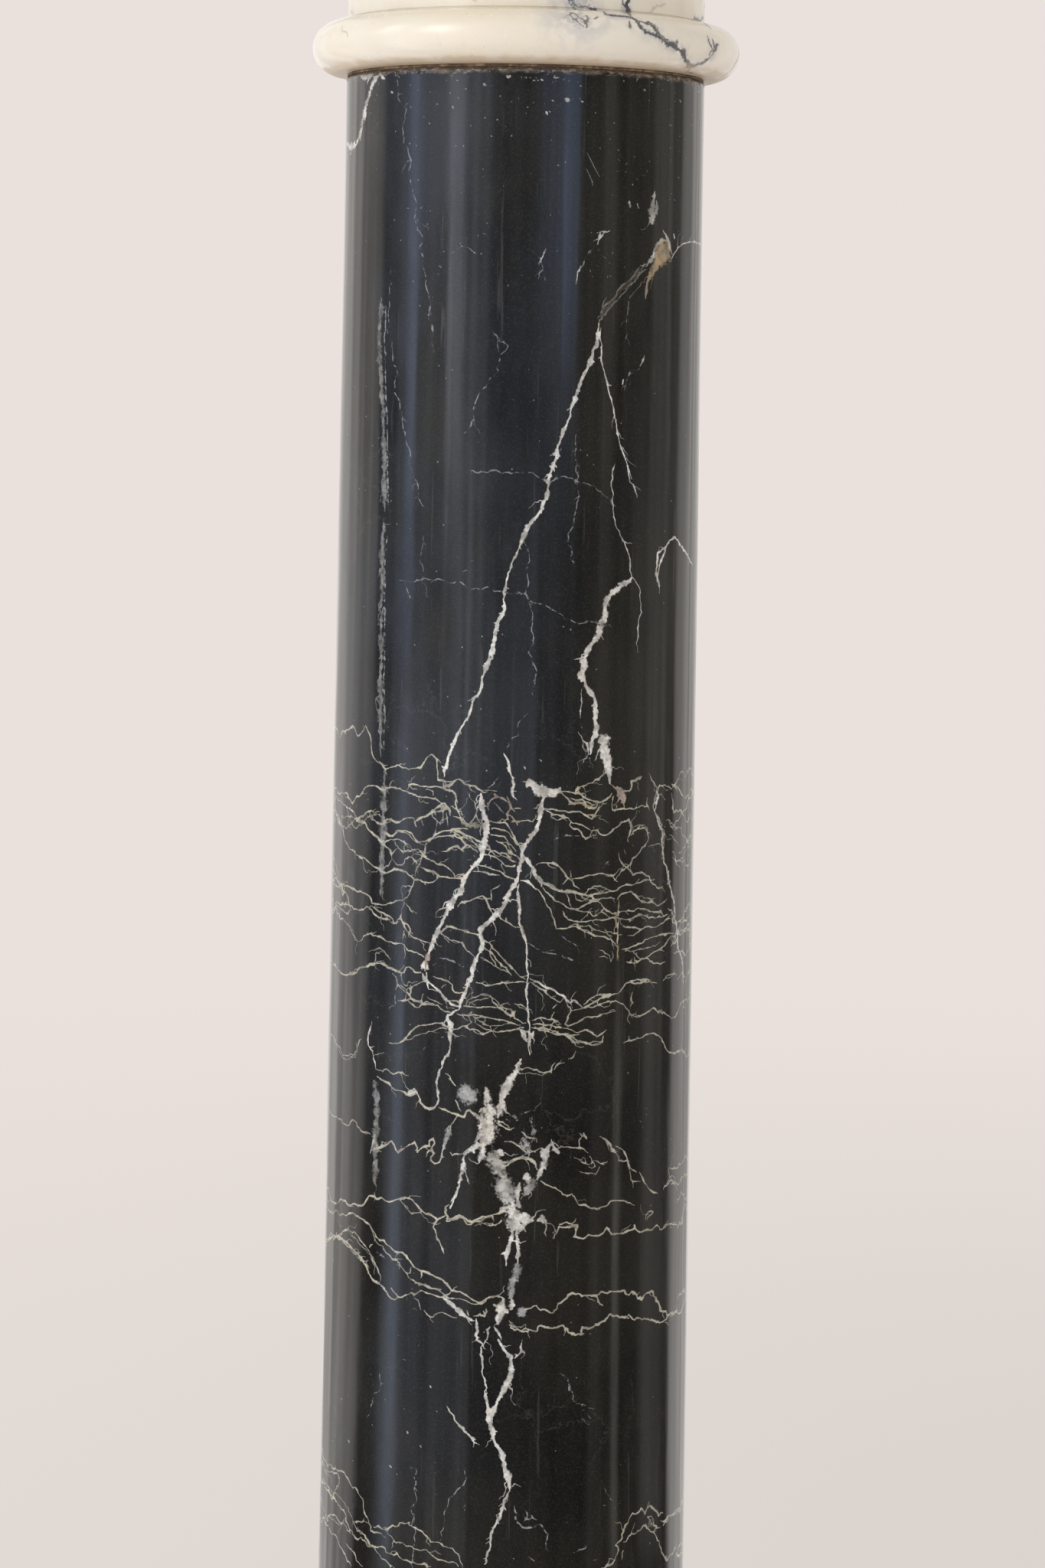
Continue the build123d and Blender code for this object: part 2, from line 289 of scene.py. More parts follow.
         688, 1241, 688, 1252, 688, 1262, 690, 1272, 689, 1281, 688, 1290, 687, 1300, 689, 1312, 690, 1322,
         690, 1333, 692, 1342),
        (558, 1281, 564, 1286, 570, 1291, 577, 1298, 583, 1306, 589, 1311, 596, 1314, 602, 1315),
        (692, 1278, 699, 1282, 706, 1285, 713, 1290, 720, 1291, 725, 1294, 729, 1298, 735, 1300, 740, 1306,
         745, 1310, 749, 1306, 754, 1310, 760, 1315),
        (680, 1150, 688, 1150, 694, 1155, 700, 1162), (552, 1272, 555, 1282),
        (557, 1270, 558, 1282, 559, 1290),
    )),
    VeinFamily("net left high", 1.0, Tone.CREAM, 0.88, 0.07, (
        (445, 964, 461, 948, 467, 961, 478, 948, 484, 961, 486, 983, 492, 994, 504, 1005, 520, 999, 534,
         1005, 550, 1003, 558, 989, 564, 985, 571, 994, 572, 1012, 572, 1019, 577, 1019, 583, 1021, 590,
         1021, 597, 1018, 603, 1019, 607, 1024, 614, 1026, 621, 1027, 626, 1031, 630, 1034, 637, 1034),
        (448, 1036, 452, 1035, 456, 1043, 461, 1050, 463, 1046, 466, 1040, 470, 1040, 474, 1034, 477, 1029,
         482, 1026, 488, 1026, 494, 1028, 498, 1031, 503, 1032, 506, 1029, 511, 1028, 517, 1029, 523, 1030,
         529, 1033, 535, 1036, 542, 1038, 549, 1040, 556, 1041, 562, 1042, 569, 1043, 574, 1047, 578, 1050),
        (445, 1046, 450, 1051, 456, 1056, 463, 1061, 465, 1066, 468, 1070, 472, 1066, 478, 1062, 484, 1059,
         489, 1060, 492, 1063),
        (481, 1066, 486, 1071, 492, 1074, 499, 1077, 502, 1073, 507, 1070, 512, 1071, 517, 1074, 522, 1074,
         527, 1070, 533, 1068, 539, 1068, 542, 1070),
        (499, 1084, 503, 1087, 508, 1091, 513, 1092, 518, 1085, 524, 1085, 530, 1085, 535, 1087, 540, 1092,
         543, 1097, 547, 1100, 553, 1099, 558, 1098, 563, 1095, 569, 1090, 575, 1087, 583, 1085, 592, 1082,
         601, 1082, 611, 1083),
        (565, 1096, 572, 1093, 580, 1092, 590, 1092, 598, 1094, 604, 1098, 611, 1104, 618, 1109, 624, 1113),
        (583, 1085, 594, 1084, 604, 1088, 613, 1092, 622, 1097, 630, 1101),
        (547, 1109, 550, 1113, 553, 1118, 557, 1121, 563, 1124, 570, 1128, 577, 1129, 583, 1132, 588, 1136,
         592, 1140, 594, 1145),
        (441, 1062, 444, 1071, 448, 1080, 449, 1089, 451, 1098, 455, 1105, 460, 1110, 465, 1116, 470, 1120,
         475, 1120, 480, 1124, 485, 1129, 491, 1133, 497, 1137, 503, 1140, 508, 1139, 514, 1136, 520, 1135,
         526, 1137, 531, 1139, 534, 1143, 539, 1146, 546, 1149, 553, 1152, 560, 1153, 566, 1152, 570, 1149,
         573, 1145),
        (579, 1022, 580, 1027, 586, 1027, 591, 1024, 596, 1019),
        (532, 1032, 534, 1025, 538, 1024, 544, 1025, 549, 1027),
        (550, 1027, 556, 1027, 562, 1028, 568, 1027, 575, 1028, 580, 1029, 586, 1032, 591, 1033, 595, 1037,
         596, 1043, 595, 1050, 597, 1057, 600, 1063, 603, 1069, 606, 1075, 610, 1080),
        (576, 1049, 581, 1049, 585, 1054, 588, 1059, 588, 1065),
        (577, 1112, 583, 1112, 587, 1109, 592, 1106, 598, 1105, 603, 1110, 607, 1106, 612, 1103),
    )),
    VeinFamily("net left stout", 1.35, Tone.CREAM, 0.9, 0.07, (
        (463, 1068, 467, 1072, 473, 1073, 477, 1074, 480, 1081, 484, 1086, 490, 1091, 495, 1096, 500, 1100,
         504, 1105, 509, 1110, 511, 1116, 512, 1121),
        (543, 1078, 542, 1073, 547, 1070, 555, 1067, 560, 1064, 564, 1060, 569, 1056, 573, 1053, 577, 1049),
        (549, 1132, 553, 1134, 557, 1137, 563, 1138, 569, 1140, 573, 1144, 580, 1145, 588, 1147, 596, 1147,
         604, 1147),
        (512, 1116, 510, 1110), (612, 1078, 607, 1073, 603, 1068),
    )),
    VeinFamily("net left fine", 0.66, Tone.CREAM, 0.8, 0.09, (
        (502, 1078, 498, 1085, 503, 1090), (541, 1072, 544, 1080),
        (562, 1063, 570, 1060, 577, 1059, 583, 1056),
        (512, 1121, 516, 1126, 520, 1130, 525, 1130, 528, 1127, 529, 1122, 534, 1119, 539, 1120, 543, 1124,
         547, 1129),
        (503, 1101, 508, 1098, 514, 1097, 521, 1096, 527, 1099, 531, 1103, 533, 1107),
        (516, 1098, 517, 1103, 521, 1108, 527, 1112, 533, 1110, 540, 1110, 547, 1109),
        (512, 1117, 515, 1112, 519, 1108),
        (556, 1100, 555, 1108, 553, 1117, 550, 1124, 547, 1131, 543, 1138, 542, 1145),
        (594, 1145, 600, 1142, 606, 1141), (512, 1122, 509, 1127, 506, 1132),
        (556, 1031, 560, 1031, 566, 1034, 566, 1039), (534, 1026, 540, 1031, 545, 1031),
        (579, 1028, 579, 1022), (583, 1062, 584, 1070, 585, 1078), (592, 1066, 600, 1068, 604, 1073),
        (611, 1077, 616, 1073, 620, 1068, 622, 1062), (622, 1063, 624, 1070, 628, 1076),
        (588, 1088, 598, 1090, 608, 1094, 616, 1099, 624, 1106), (551, 1072, 553, 1078),
    )),
    VeinFamily("web smoke", 0.9, Tone.SMOKE, 0.6, 0.08, (
        (569, 1061, 570, 1070, 570, 1080, 568, 1088, 565, 1094),
        (541, 1147, 540, 1154, 537, 1160, 533, 1167), (553, 1018, 557, 1010),
        (637, 1029, 645, 1024, 652, 1014),
        (689, 1232, 694, 1234, 700, 1239, 708, 1243, 716, 1245, 725, 1246, 733, 1248, 742, 1251, 750, 1255,
         757, 1258),
        (570, 1250, 575, 1251, 583, 1252, 592, 1255, 600, 1260, 606, 1263),
        (517, 1298, 516, 1306, 517, 1314), (724, 1097, 731, 1094, 740, 1091, 748, 1092, 757, 1092),
        (729, 1221, 737, 1225, 744, 1230, 752, 1235, 760, 1236), (787, 1134, 791, 1128, 797, 1124),
    )),
    VeinFamily("rose ring", 1.2, Tone.ROSE, 0.75, 0.09, (
        (638, 1058, 637, 1050, 641, 1045, 646, 1042, 652, 1041, 658, 1043, 664, 1048, 667, 1056, 662, 1063,
         664, 1071),
        (646, 1037, 648, 1042), (662, 1040, 666, 1048, 668, 1056, 672, 1060),
        (668, 1066, 671, 1070, 668, 1074),
    )),
    VeinFamily("net fan", 0.92, Tone.CREAM, 0.88, 0.07, (
        (640, 1072, 646, 1074, 652, 1075, 660, 1074, 664, 1079, 668, 1086, 672, 1093, 676, 1101, 680, 1110),
        (664, 1064, 668, 1066, 672, 1071, 676, 1078),
        (642, 1083, 648, 1082, 654, 1084, 660, 1085, 666, 1089, 671, 1096, 676, 1104),
        (641, 1090, 648, 1091, 655, 1092, 662, 1097, 668, 1104, 674, 1112),
        (648, 1098, 655, 1101, 661, 1106, 667, 1113, 674, 1118),
        (630, 1108, 638, 1109, 646, 1111, 652, 1115, 658, 1114, 664, 1118, 668, 1124, 674, 1126),
        (632, 1116, 640, 1117, 648, 1120, 655, 1125, 661, 1131, 668, 1132, 673, 1130),
        (622, 1131, 630, 1131, 638, 1133, 646, 1136, 653, 1138, 660, 1144, 668, 1147, 675, 1149),
        (618, 1138, 626, 1138, 636, 1140, 644, 1142, 652, 1143),
        (668, 1074, 674, 1073, 682, 1072, 690, 1071, 696, 1073, 700, 1068), (672, 1056, 680, 1056),
    )),
    VeinFamily("net left low", 0.95, Tone.CREAM, 0.85, 0.07, (
        (443, 1150, 448, 1155, 455, 1158, 463, 1161, 471, 1164, 477, 1167, 482, 1170, 485, 1175, 486, 1180,
         492, 1181, 500, 1182, 507, 1180, 514, 1179, 521, 1176, 527, 1176),
        (444, 1154, 447, 1162, 448, 1170, 450, 1160, 449, 1154),
        (440, 1177, 446, 1182, 453, 1182, 459, 1183, 462, 1187, 469, 1189, 475, 1188, 479, 1184, 485, 1183,
         490, 1186, 495, 1190, 502, 1193, 508, 1196, 513, 1200, 515, 1206, 518, 1206, 520, 1201, 523, 1200),
        (444, 1186, 450, 1191, 455, 1193, 459, 1188),
        (482, 1187, 488, 1193, 495, 1198, 503, 1200, 510, 1201),
        (525, 1192, 523, 1198, 526, 1204, 532, 1207, 536, 1213, 535, 1220, 538, 1223, 545, 1226, 552, 1229,
         560, 1231, 563, 1232),
        (525, 1203, 528, 1210, 532, 1216, 535, 1220),
        (471, 1229, 475, 1223, 480, 1220, 487, 1221, 494, 1223, 501, 1226, 507, 1230, 514, 1232, 522, 1232,
         528, 1234, 531, 1239, 538, 1242, 545, 1244, 550, 1247, 554, 1250),
        (441, 1264, 446, 1271, 452, 1274, 458, 1273, 464, 1271, 468, 1266, 474, 1264, 480, 1263, 487, 1260,
         494, 1258, 500, 1260, 506, 1264, 513, 1266, 519, 1269, 525, 1271, 528, 1270, 530, 1264, 535, 1263,
         540, 1266, 544, 1270, 550, 1270),
        (532, 1298, 536, 1299, 537, 1292, 541, 1287, 548, 1284, 554, 1282),
        (520, 1307, 527, 1307, 533, 1306, 537, 1311, 542, 1315, 547, 1316, 550, 1312, 558, 1311, 566, 1312,
         572, 1313, 576, 1318, 581, 1321, 588, 1322),
        (566, 1275, 573, 1278, 580, 1280, 587, 1283, 591, 1286, 591, 1292, 594, 1296, 600, 1297, 605, 1296),
        (569, 1221, 576, 1218, 581, 1213, 585, 1210, 592, 1211, 600, 1214, 608, 1217, 617, 1219, 625, 1221),
        (576, 1219, 582, 1223, 588, 1228, 596, 1229, 604, 1231, 606, 1236, 610, 1242, 616, 1246, 621, 1251),
        (598, 1184, 603, 1178, 610, 1177, 617, 1175, 624, 1172, 630, 1170, 634, 1173, 637, 1180, 640, 1187,
         644, 1193),
        (633, 1228, 640, 1232, 644, 1239, 650, 1244, 656, 1251, 662, 1258, 669, 1265, 676, 1272),
        (634, 1239, 641, 1243, 646, 1249, 651, 1256, 657, 1262, 663, 1267, 668, 1274),
        (622, 1283, 628, 1284, 634, 1287, 642, 1287, 649, 1285, 656, 1283, 664, 1284, 672, 1283, 680, 1282,
         687, 1283),
        (606, 1314, 614, 1315, 623, 1316, 632, 1315, 640, 1315, 650, 1316, 660, 1317, 668, 1318),
        (640, 1300, 643, 1308, 650, 1314, 658, 1320, 664, 1324, 671, 1328),
        (597, 1324, 606, 1326, 615, 1326, 624, 1326, 632, 1328, 642, 1330, 652, 1332, 662, 1334, 672, 1337,
         680, 1339),
        (655, 1317, 660, 1323, 668, 1327, 671, 1322, 672, 1330, 680, 1334, 687, 1336),
        (592, 1345, 598, 1344, 604, 1340, 610, 1340, 614, 1345, 620, 1344, 628, 1349, 634, 1350, 641, 1347,
         650, 1348, 658, 1347, 668, 1346, 676, 1344, 684, 1342),
        (508, 1362, 524, 1361, 528, 1358, 535, 1350, 541, 1344, 546, 1340, 553, 1339, 561, 1338, 569, 1336,
         577, 1336, 582, 1340, 588, 1341),
        (651, 1195, 655, 1200, 661, 1204, 667, 1207, 674, 1212),
    )),
    VeinFamily("net low fine", 0.64, Tone.CREAM, 0.74, 0.09, (
        (527, 1176, 532, 1172, 536, 1164, 540, 1156, 541, 1150), (528, 1178, 526, 1185, 525, 1192),
        (528, 1215, 527, 1222, 526, 1226), (530, 1180, 535, 1185, 540, 1192),
        (450, 1202, 454, 1208, 458, 1214, 463, 1222, 467, 1229, 471, 1229), (481, 1218, 480, 1222),
        (528, 1234, 529, 1243, 528, 1252),
        (482, 1243, 489, 1241, 496, 1238, 502, 1242, 507, 1249, 511, 1254),
        (513, 1271, 518, 1276, 519, 1284, 517, 1292, 521, 1286, 527, 1293, 532, 1298),
        (523, 1286, 530, 1292, 535, 1300, 541, 1305, 548, 1308), (550, 1312, 551, 1304, 553, 1298),
        (558, 1302, 565, 1306, 572, 1309, 578, 1312), (577, 1290, 583, 1286),
        (580, 1306, 588, 1307, 596, 1307, 603, 1309),
        (569, 1199, 570, 1192, 574, 1188, 580, 1186, 586, 1184), (641, 1163, 647, 1160, 653, 1156),
        (641, 1163, 642, 1172, 642, 1176), (643, 1202, 646, 1208, 648, 1216, 647, 1222),
        (661, 1199, 662, 1204), (628, 1250, 635, 1254, 642, 1258, 648, 1263, 655, 1267),
        (612, 1309, 620, 1307, 628, 1306, 638, 1304), (616, 1302, 626, 1300, 636, 1299),
        (672, 1311, 680, 1312, 686, 1316), (618, 1346, 624, 1350, 632, 1352),
        (622, 1337, 630, 1342, 640, 1345, 648, 1347), (621, 1328, 621, 1336),
        (435, 1353, 448, 1378, 464, 1377, 473, 1356), (489, 1378, 502, 1375),
    )),
    VeinFamily("net right high", 0.97, Tone.CREAM, 0.86, 0.07, (
        (734, 1034, 742, 1034, 750, 1036, 757, 1037, 762, 1041, 768, 1044, 775, 1046, 782, 1048, 788, 1046,
         794, 1042, 799, 1036),
        (734, 1036, 739, 1041, 744, 1046, 750, 1050, 757, 1048, 763, 1049, 768, 1055, 774, 1056, 779, 1054,
         781, 1050),
        (745, 1042, 752, 1045, 760, 1044, 768, 1048, 776, 1051), (752, 1037, 755, 1028, 758, 1030),
        (712, 1056, 718, 1057, 726, 1058, 734, 1059, 742, 1061, 750, 1060, 757, 1060, 762, 1063, 768, 1067,
         773, 1070, 777, 1065, 780, 1059, 783, 1052),
        (742, 1068, 746, 1073, 744, 1078, 748, 1082, 755, 1083, 759, 1087, 761, 1092, 765, 1096, 770, 1093,
         772, 1088, 774, 1084, 780, 1084, 783, 1089, 789, 1091, 795, 1089, 801, 1083, 808, 1079, 815, 1073,
         821, 1070, 823, 1075, 824, 1082, 822, 1089, 820, 1094, 821, 1100),
        (746, 1074, 752, 1075, 759, 1077, 766, 1081, 772, 1085),
        (801, 1040, 799, 1050, 800, 1058, 808, 1057, 815, 1056, 824, 1056, 832, 1055, 838, 1052, 846, 1054),
        (815, 1033, 822, 1033, 825, 1028, 824, 1021, 829, 1019, 834, 1017, 838, 1014, 836, 1018),
        (757, 1028, 765, 1026, 774, 1022, 782, 1018, 790, 1010, 795, 999),
        (848, 1010, 851, 1019, 855, 1024, 858, 1029, 857, 1037, 855, 1045, 853, 1052, 854, 1058),
        (858, 1029, 862, 1026, 868, 1025, 873, 1027, 877, 1031),
        (877, 1024, 884, 1028, 888, 1033, 893, 1040),
        (826, 1086, 832, 1083, 838, 1082, 844, 1083, 846, 1088, 847, 1094, 846, 1099),
        (846, 1098, 842, 1105, 836, 1112, 830, 1119, 824, 1127, 818, 1133, 811, 1138, 806, 1145),
        (808, 1114, 810, 1124, 814, 1130, 819, 1133, 824, 1138, 827, 1143, 834, 1140, 841, 1141, 848, 1145,
         850, 1152, 856, 1156, 861, 1160, 866, 1158),
        (700, 1130, 706, 1127, 714, 1127, 722, 1127, 728, 1130, 733, 1135, 738, 1141, 742, 1147, 747, 1150,
         750, 1157, 757, 1161),
        (747, 1148, 756, 1147, 766, 1144, 778, 1142, 790, 1142, 800, 1143, 803, 1149, 807, 1152),
        (700, 1147, 708, 1152, 716, 1154, 724, 1159, 732, 1163, 742, 1165, 752, 1167, 762, 1169, 775, 1168,
         788, 1166, 797, 1164, 805, 1163, 811, 1158, 818, 1155, 826, 1156, 834, 1153, 846, 1149, 855, 1148),
        (740, 1162, 748, 1164, 757, 1167, 765, 1169, 773, 1171, 779, 1176),
        (709, 1159, 712, 1164, 718, 1169, 724, 1176, 730, 1178, 736, 1181, 740, 1185, 747, 1187, 755, 1187,
         762, 1183, 768, 1180, 774, 1177, 780, 1177, 786, 1173, 794, 1173, 803, 1174),
        (700, 1160, 706, 1166, 711, 1174, 715, 1184, 720, 1191, 724, 1201, 726, 1213),
        (726, 1213, 734, 1213, 742, 1212, 752, 1210, 760, 1214, 768, 1218, 777, 1223, 784, 1223, 791, 1224,
         798, 1227, 804, 1233, 807, 1238),
        (735, 1190, 737, 1196, 742, 1201, 749, 1203, 757, 1204, 765, 1204, 772, 1202, 778, 1201, 786, 1202,
         795, 1200, 803, 1199, 812, 1200, 820, 1201, 826, 1199, 833, 1196, 841, 1196, 848, 1199, 856, 1199,
         864, 1198, 872, 1194),
        (780, 1177, 785, 1180, 789, 1186, 793, 1190, 799, 1193, 806, 1193, 813, 1190, 821, 1189, 828, 1190,
         833, 1186, 840, 1187, 848, 1190, 856, 1191, 863, 1190, 867, 1197),
        (806, 1175, 811, 1168, 817, 1166, 824, 1164, 829, 1169, 834, 1174, 842, 1178, 850, 1177, 855, 1180,
         858, 1183, 864, 1180, 871, 1174),
        (813, 1210, 821, 1211, 829, 1211, 837, 1214, 842, 1211, 849, 1210, 856, 1211, 862, 1207, 868, 1203,
         876, 1200),
        (812, 1240, 818, 1239, 826, 1236, 833, 1233, 838, 1232, 842, 1227, 849, 1225, 856, 1223, 864, 1220,
         872, 1219, 880, 1219),
        (844, 1250, 852, 1245, 860, 1240, 868, 1235, 872, 1228, 876, 1222),
        (818, 1256, 825, 1257, 832, 1257, 838, 1252, 844, 1251, 849, 1256, 856, 1258, 863, 1259, 869, 1256),
    )),
    VeinFamily("net right stout", 1.3, Tone.CREAM, 0.9, 0.06, (
        (713, 1058, 720, 1062, 728, 1064, 736, 1066, 742, 1068),
        (716, 1155, 724, 1160, 732, 1164, 740, 1164), (854, 1058, 857, 1064, 861, 1071, 865, 1078),
        (815, 1052, 815, 1044, 812, 1036),
        (804, 1298, 797, 1300, 790, 1302, 784, 1304, 776, 1309, 768, 1313, 760, 1317),
    )),
    VeinFamily("net right fine", 0.64, Tone.CREAM, 0.76, 0.09, (
        (845, 1042, 844, 1050, 848, 1058), (828, 1080, 835, 1077, 842, 1078), (822, 1092, 828, 1086),
        (847, 1106, 854, 1104, 861, 1102, 865, 1104), (817, 1115, 815, 1110),
        (745, 1148, 739, 1150, 735, 1155), (745, 1137, 746, 1146), (806, 1145, 802, 1150),
        (690, 1142, 686, 1146), (738, 1164, 741, 1170, 743, 1177, 746, 1184),
        (763, 1168, 768, 1161, 776, 1157, 784, 1157, 791, 1160, 798, 1163),
        (745, 1186, 753, 1189, 762, 1191, 771, 1192, 775, 1197, 780, 1195, 786, 1191),
        (789, 1186, 785, 1190, 793, 1196, 797, 1199), (790, 1214, 797, 1217, 805, 1219, 812, 1221),
        (820, 1222, 827, 1222, 834, 1217, 839, 1213), (816, 1242, 824, 1243, 831, 1247, 836, 1252),
        (824, 1243, 834, 1240, 845, 1238, 853, 1235, 862, 1230), (828, 1250, 834, 1256),
        (783, 1241, 790, 1245, 796, 1248, 798, 1256), (783, 1250, 789, 1249, 794, 1252),
        (799, 1242, 801, 1250, 797, 1256), (870, 1072, 876, 1075, 882, 1080, 890, 1082),
        (874, 1090, 880, 1096, 886, 1104), (878, 1120, 884, 1130, 888, 1134),
    )),
    VeinFamily("net right low", 0.95, Tone.CREAM, 0.85, 0.07, (
        (692, 1282, 699, 1287, 707, 1292, 714, 1298, 720, 1303, 727, 1307, 732, 1309, 736, 1304),
        (740, 1308, 741, 1314, 746, 1320, 752, 1319, 760, 1317),
        (804, 1298, 810, 1295, 814, 1289, 818, 1284, 823, 1282, 829, 1285, 836, 1284, 844, 1283, 852, 1283,
         858, 1284),
        (762, 1312, 768, 1307, 773, 1303, 780, 1300, 788, 1299, 797, 1298),
        (764, 1317, 772, 1316, 780, 1313, 788, 1310, 796, 1308, 804, 1307, 811, 1311, 816, 1315, 821, 1320,
         824, 1325, 830, 1328, 836, 1327, 842, 1324, 849, 1320, 853, 1316, 858, 1321, 864, 1322, 870, 1325,
         876, 1329),
        (866, 1281, 870, 1275, 876, 1272, 884, 1274),
        (746, 1320, 742, 1326, 741, 1332, 738, 1337, 742, 1340, 750, 1337, 758, 1333, 764, 1329, 772, 1329,
         780, 1328, 788, 1324, 796, 1322, 804, 1320),
        (695, 1333, 702, 1330, 708, 1329, 714, 1331, 722, 1331, 728, 1333, 732, 1338),
        (696, 1338, 704, 1337, 712, 1339, 722, 1340, 732, 1342, 742, 1343),
        (698, 1341, 704, 1345, 712, 1347, 720, 1349, 728, 1351, 738, 1352, 748, 1352, 757, 1351),
        (742, 1344, 748, 1346, 754, 1349, 759, 1347, 764, 1345, 770, 1347, 775, 1351, 780, 1354, 786, 1350,
         792, 1345),
        (674, 1270, 680, 1276, 686, 1279), (823, 1281, 832, 1279, 842, 1279, 850, 1280),
        (826, 1296, 824, 1304, 827, 1310, 823, 1315), (722, 1317, 727, 1312), (720, 1330, 724, 1322),
        (694, 1342, 713, 1343, 732, 1351, 752, 1358, 771, 1362, 787, 1361, 788, 1353),
        (727, 1350, 742, 1355, 757, 1361, 773, 1365, 785, 1363),
        (814, 1362, 828, 1358, 836, 1356, 842, 1352, 850, 1350, 858, 1352, 864, 1356, 868, 1366, 876, 1375,
         889, 1370),
    )),
    VeinFamily("middle left", 0.85, Tone.CREAM, 0.84, 0.15, (
        (491, 1396, 505, 1396, 517, 1402, 534, 1405), (582, 1402, 590, 1412),
        (441, 1460, 454, 1470, 466, 1466, 474, 1478, 484, 1481),
        (679, 1383, 678, 1396, 694, 1396, 701, 1397, 719, 1400, 725, 1388), (724, 1397, 737, 1388),
        (742, 1383, 752, 1373),
    )),
    VeinFamily("middle band", 1.25, Tone.CREAM, 0.92, 0.06, (
        (493, 1406, 500, 1411, 507, 1414, 512, 1420, 520, 1424, 527, 1426, 533, 1429, 538, 1427, 541, 1422,
         545, 1428, 548, 1434, 549, 1440, 554, 1445, 561, 1449, 567, 1447, 571, 1441),
        (530, 1430, 536, 1431, 543, 1429),
        (573, 1446, 580, 1449, 586, 1452, 593, 1454, 600, 1457, 607, 1459, 609, 1452, 613, 1450, 618, 1454,
         622, 1457, 628, 1461),
        (487, 1500, 493, 1500, 500, 1497, 507, 1494, 512, 1490, 516, 1497, 520, 1506, 526, 1501, 532, 1497,
         538, 1494, 542, 1491, 545, 1498, 545, 1505, 550, 1500, 556, 1497, 561, 1497, 561, 1490, 566, 1487,
         568, 1493, 564, 1499, 566, 1508, 563, 1516, 568, 1520, 574, 1518, 577, 1512),
        (490, 1481, 488, 1490, 486, 1498, 484, 1506), (588, 1505, 591, 1509, 597, 1507, 603, 1507),
        (657, 1524, 663, 1522, 667, 1517, 674, 1513, 681, 1511, 689, 1512, 695, 1516, 700, 1522, 702, 1528),
        (672, 1576, 664, 1576, 657, 1580, 652, 1585, 642, 1587, 632, 1589, 624, 1592, 617, 1596, 611, 1594,
         605, 1589, 600, 1587, 594, 1591, 587, 1595, 583, 1595, 585, 1589, 582, 1583, 582, 1576, 587, 1573),
        (441, 1572, 445, 1566, 452, 1569, 456, 1575, 462, 1572, 468, 1575, 474, 1575, 478, 1568, 482, 1562,
         488, 1562, 492, 1566, 498, 1564, 503, 1568, 510, 1570, 517, 1567, 523, 1566, 530, 1564, 537, 1566,
         541, 1570, 546, 1576, 551, 1581, 556, 1585, 563, 1587, 568, 1590, 571, 1594, 567, 1600, 566, 1603,
         570, 1612, 575, 1624, 580, 1637),
        (571, 1594, 577, 1590, 581, 1588),
        (452, 1588, 456, 1585, 462, 1585, 468, 1589, 475, 1593, 479, 1597, 484, 1601, 488, 1608, 492, 1616,
         496, 1620, 502, 1620, 506, 1626, 513, 1632, 520, 1636, 526, 1636, 531, 1640, 535, 1646, 539, 1652,
         545, 1657, 550, 1660, 556, 1661, 562, 1664, 569, 1668, 575, 1670, 581, 1675, 586, 1680, 590, 1685,
         597, 1687, 604, 1689, 611, 1693, 618, 1698, 626, 1702, 633, 1698, 640, 1694, 648, 1693, 655, 1694,
         659, 1697),
        (428, 1618, 435, 1614, 442, 1615, 449, 1620, 456, 1625, 462, 1633, 469, 1639, 475, 1648, 480, 1658,
         484, 1666, 490, 1673, 496, 1677, 501, 1682, 506, 1689, 511, 1696, 516, 1698),
        (783, 1484, 788, 1487, 793, 1490, 797, 1495, 799, 1500, 803, 1504, 806, 1508),
        (810, 1500, 815, 1504, 818, 1510, 820, 1517, 822, 1524, 826, 1528, 831, 1531),
        (835, 1531, 839, 1538, 842, 1545, 847, 1552, 852, 1557, 859, 1559),
        (722, 1618, 727, 1610, 730, 1602, 736, 1603, 743, 1603, 750, 1601, 754, 1600, 752, 1608, 750, 1615,
         756, 1617, 762, 1618, 768, 1613, 774, 1614, 782, 1614, 788, 1610, 792, 1604, 795, 1606, 799, 1612,
         806, 1611, 813, 1611, 820, 1607, 828, 1605, 829, 1600, 833, 1608, 838, 1609, 845, 1606, 852, 1606,
         857, 1600, 862, 1606, 870, 1600, 876, 1598, 884, 1600),
        (762, 1480, 766, 1487), (619, 1719, 626, 1717, 633, 1719, 636, 1713, 635, 1709),
    )),
    VeinFamily("middle fine", 0.85, Tone.CREAM, 0.84, 0.08, (
        (595, 1437, 598, 1444, 602, 1451), (597, 1458, 592, 1466, 588, 1474),
        (579, 1500, 577, 1511, 580, 1511), (564, 1500, 558, 1506, 557, 1511),
        (586, 1408, 591, 1413, 595, 1418), (626, 1452, 629, 1448), (608, 1530, 611, 1540, 613, 1546),
        (612, 1512, 617, 1517, 623, 1520, 626, 1519),
        (649, 1467, 655, 1470, 661, 1474, 667, 1476, 672, 1473),
        (659, 1491, 667, 1491, 673, 1494, 680, 1499, 686, 1503, 692, 1505, 700, 1505),
        (681, 1478, 686, 1483, 692, 1486, 701, 1487, 701, 1492), (656, 1518, 665, 1518),
        (720, 1488, 726, 1494, 730, 1499), (713, 1598, 713, 1606, 713, 1614),
        (678, 1607, 684, 1604, 688, 1599), (655, 1594, 648, 1600, 641, 1601, 632, 1598, 624, 1594),
        (706, 1542, 712, 1547, 718, 1549, 725, 1551, 730, 1555, 735, 1560, 741, 1562, 747, 1559, 751, 1564,
         754, 1571, 759, 1574, 764, 1573, 769, 1577, 776, 1578, 784, 1577, 792, 1575, 797, 1569, 804, 1568,
         813, 1568, 820, 1571, 829, 1574),
        (728, 1500, 733, 1497, 740, 1498, 748, 1499, 756, 1500, 763, 1501, 768, 1506),
        (756, 1500, 756, 1490, 760, 1484, 757, 1480), (750, 1512, 757, 1515, 763, 1519, 769, 1521),
        (770, 1510, 773, 1517, 777, 1524, 773, 1526, 769, 1524),
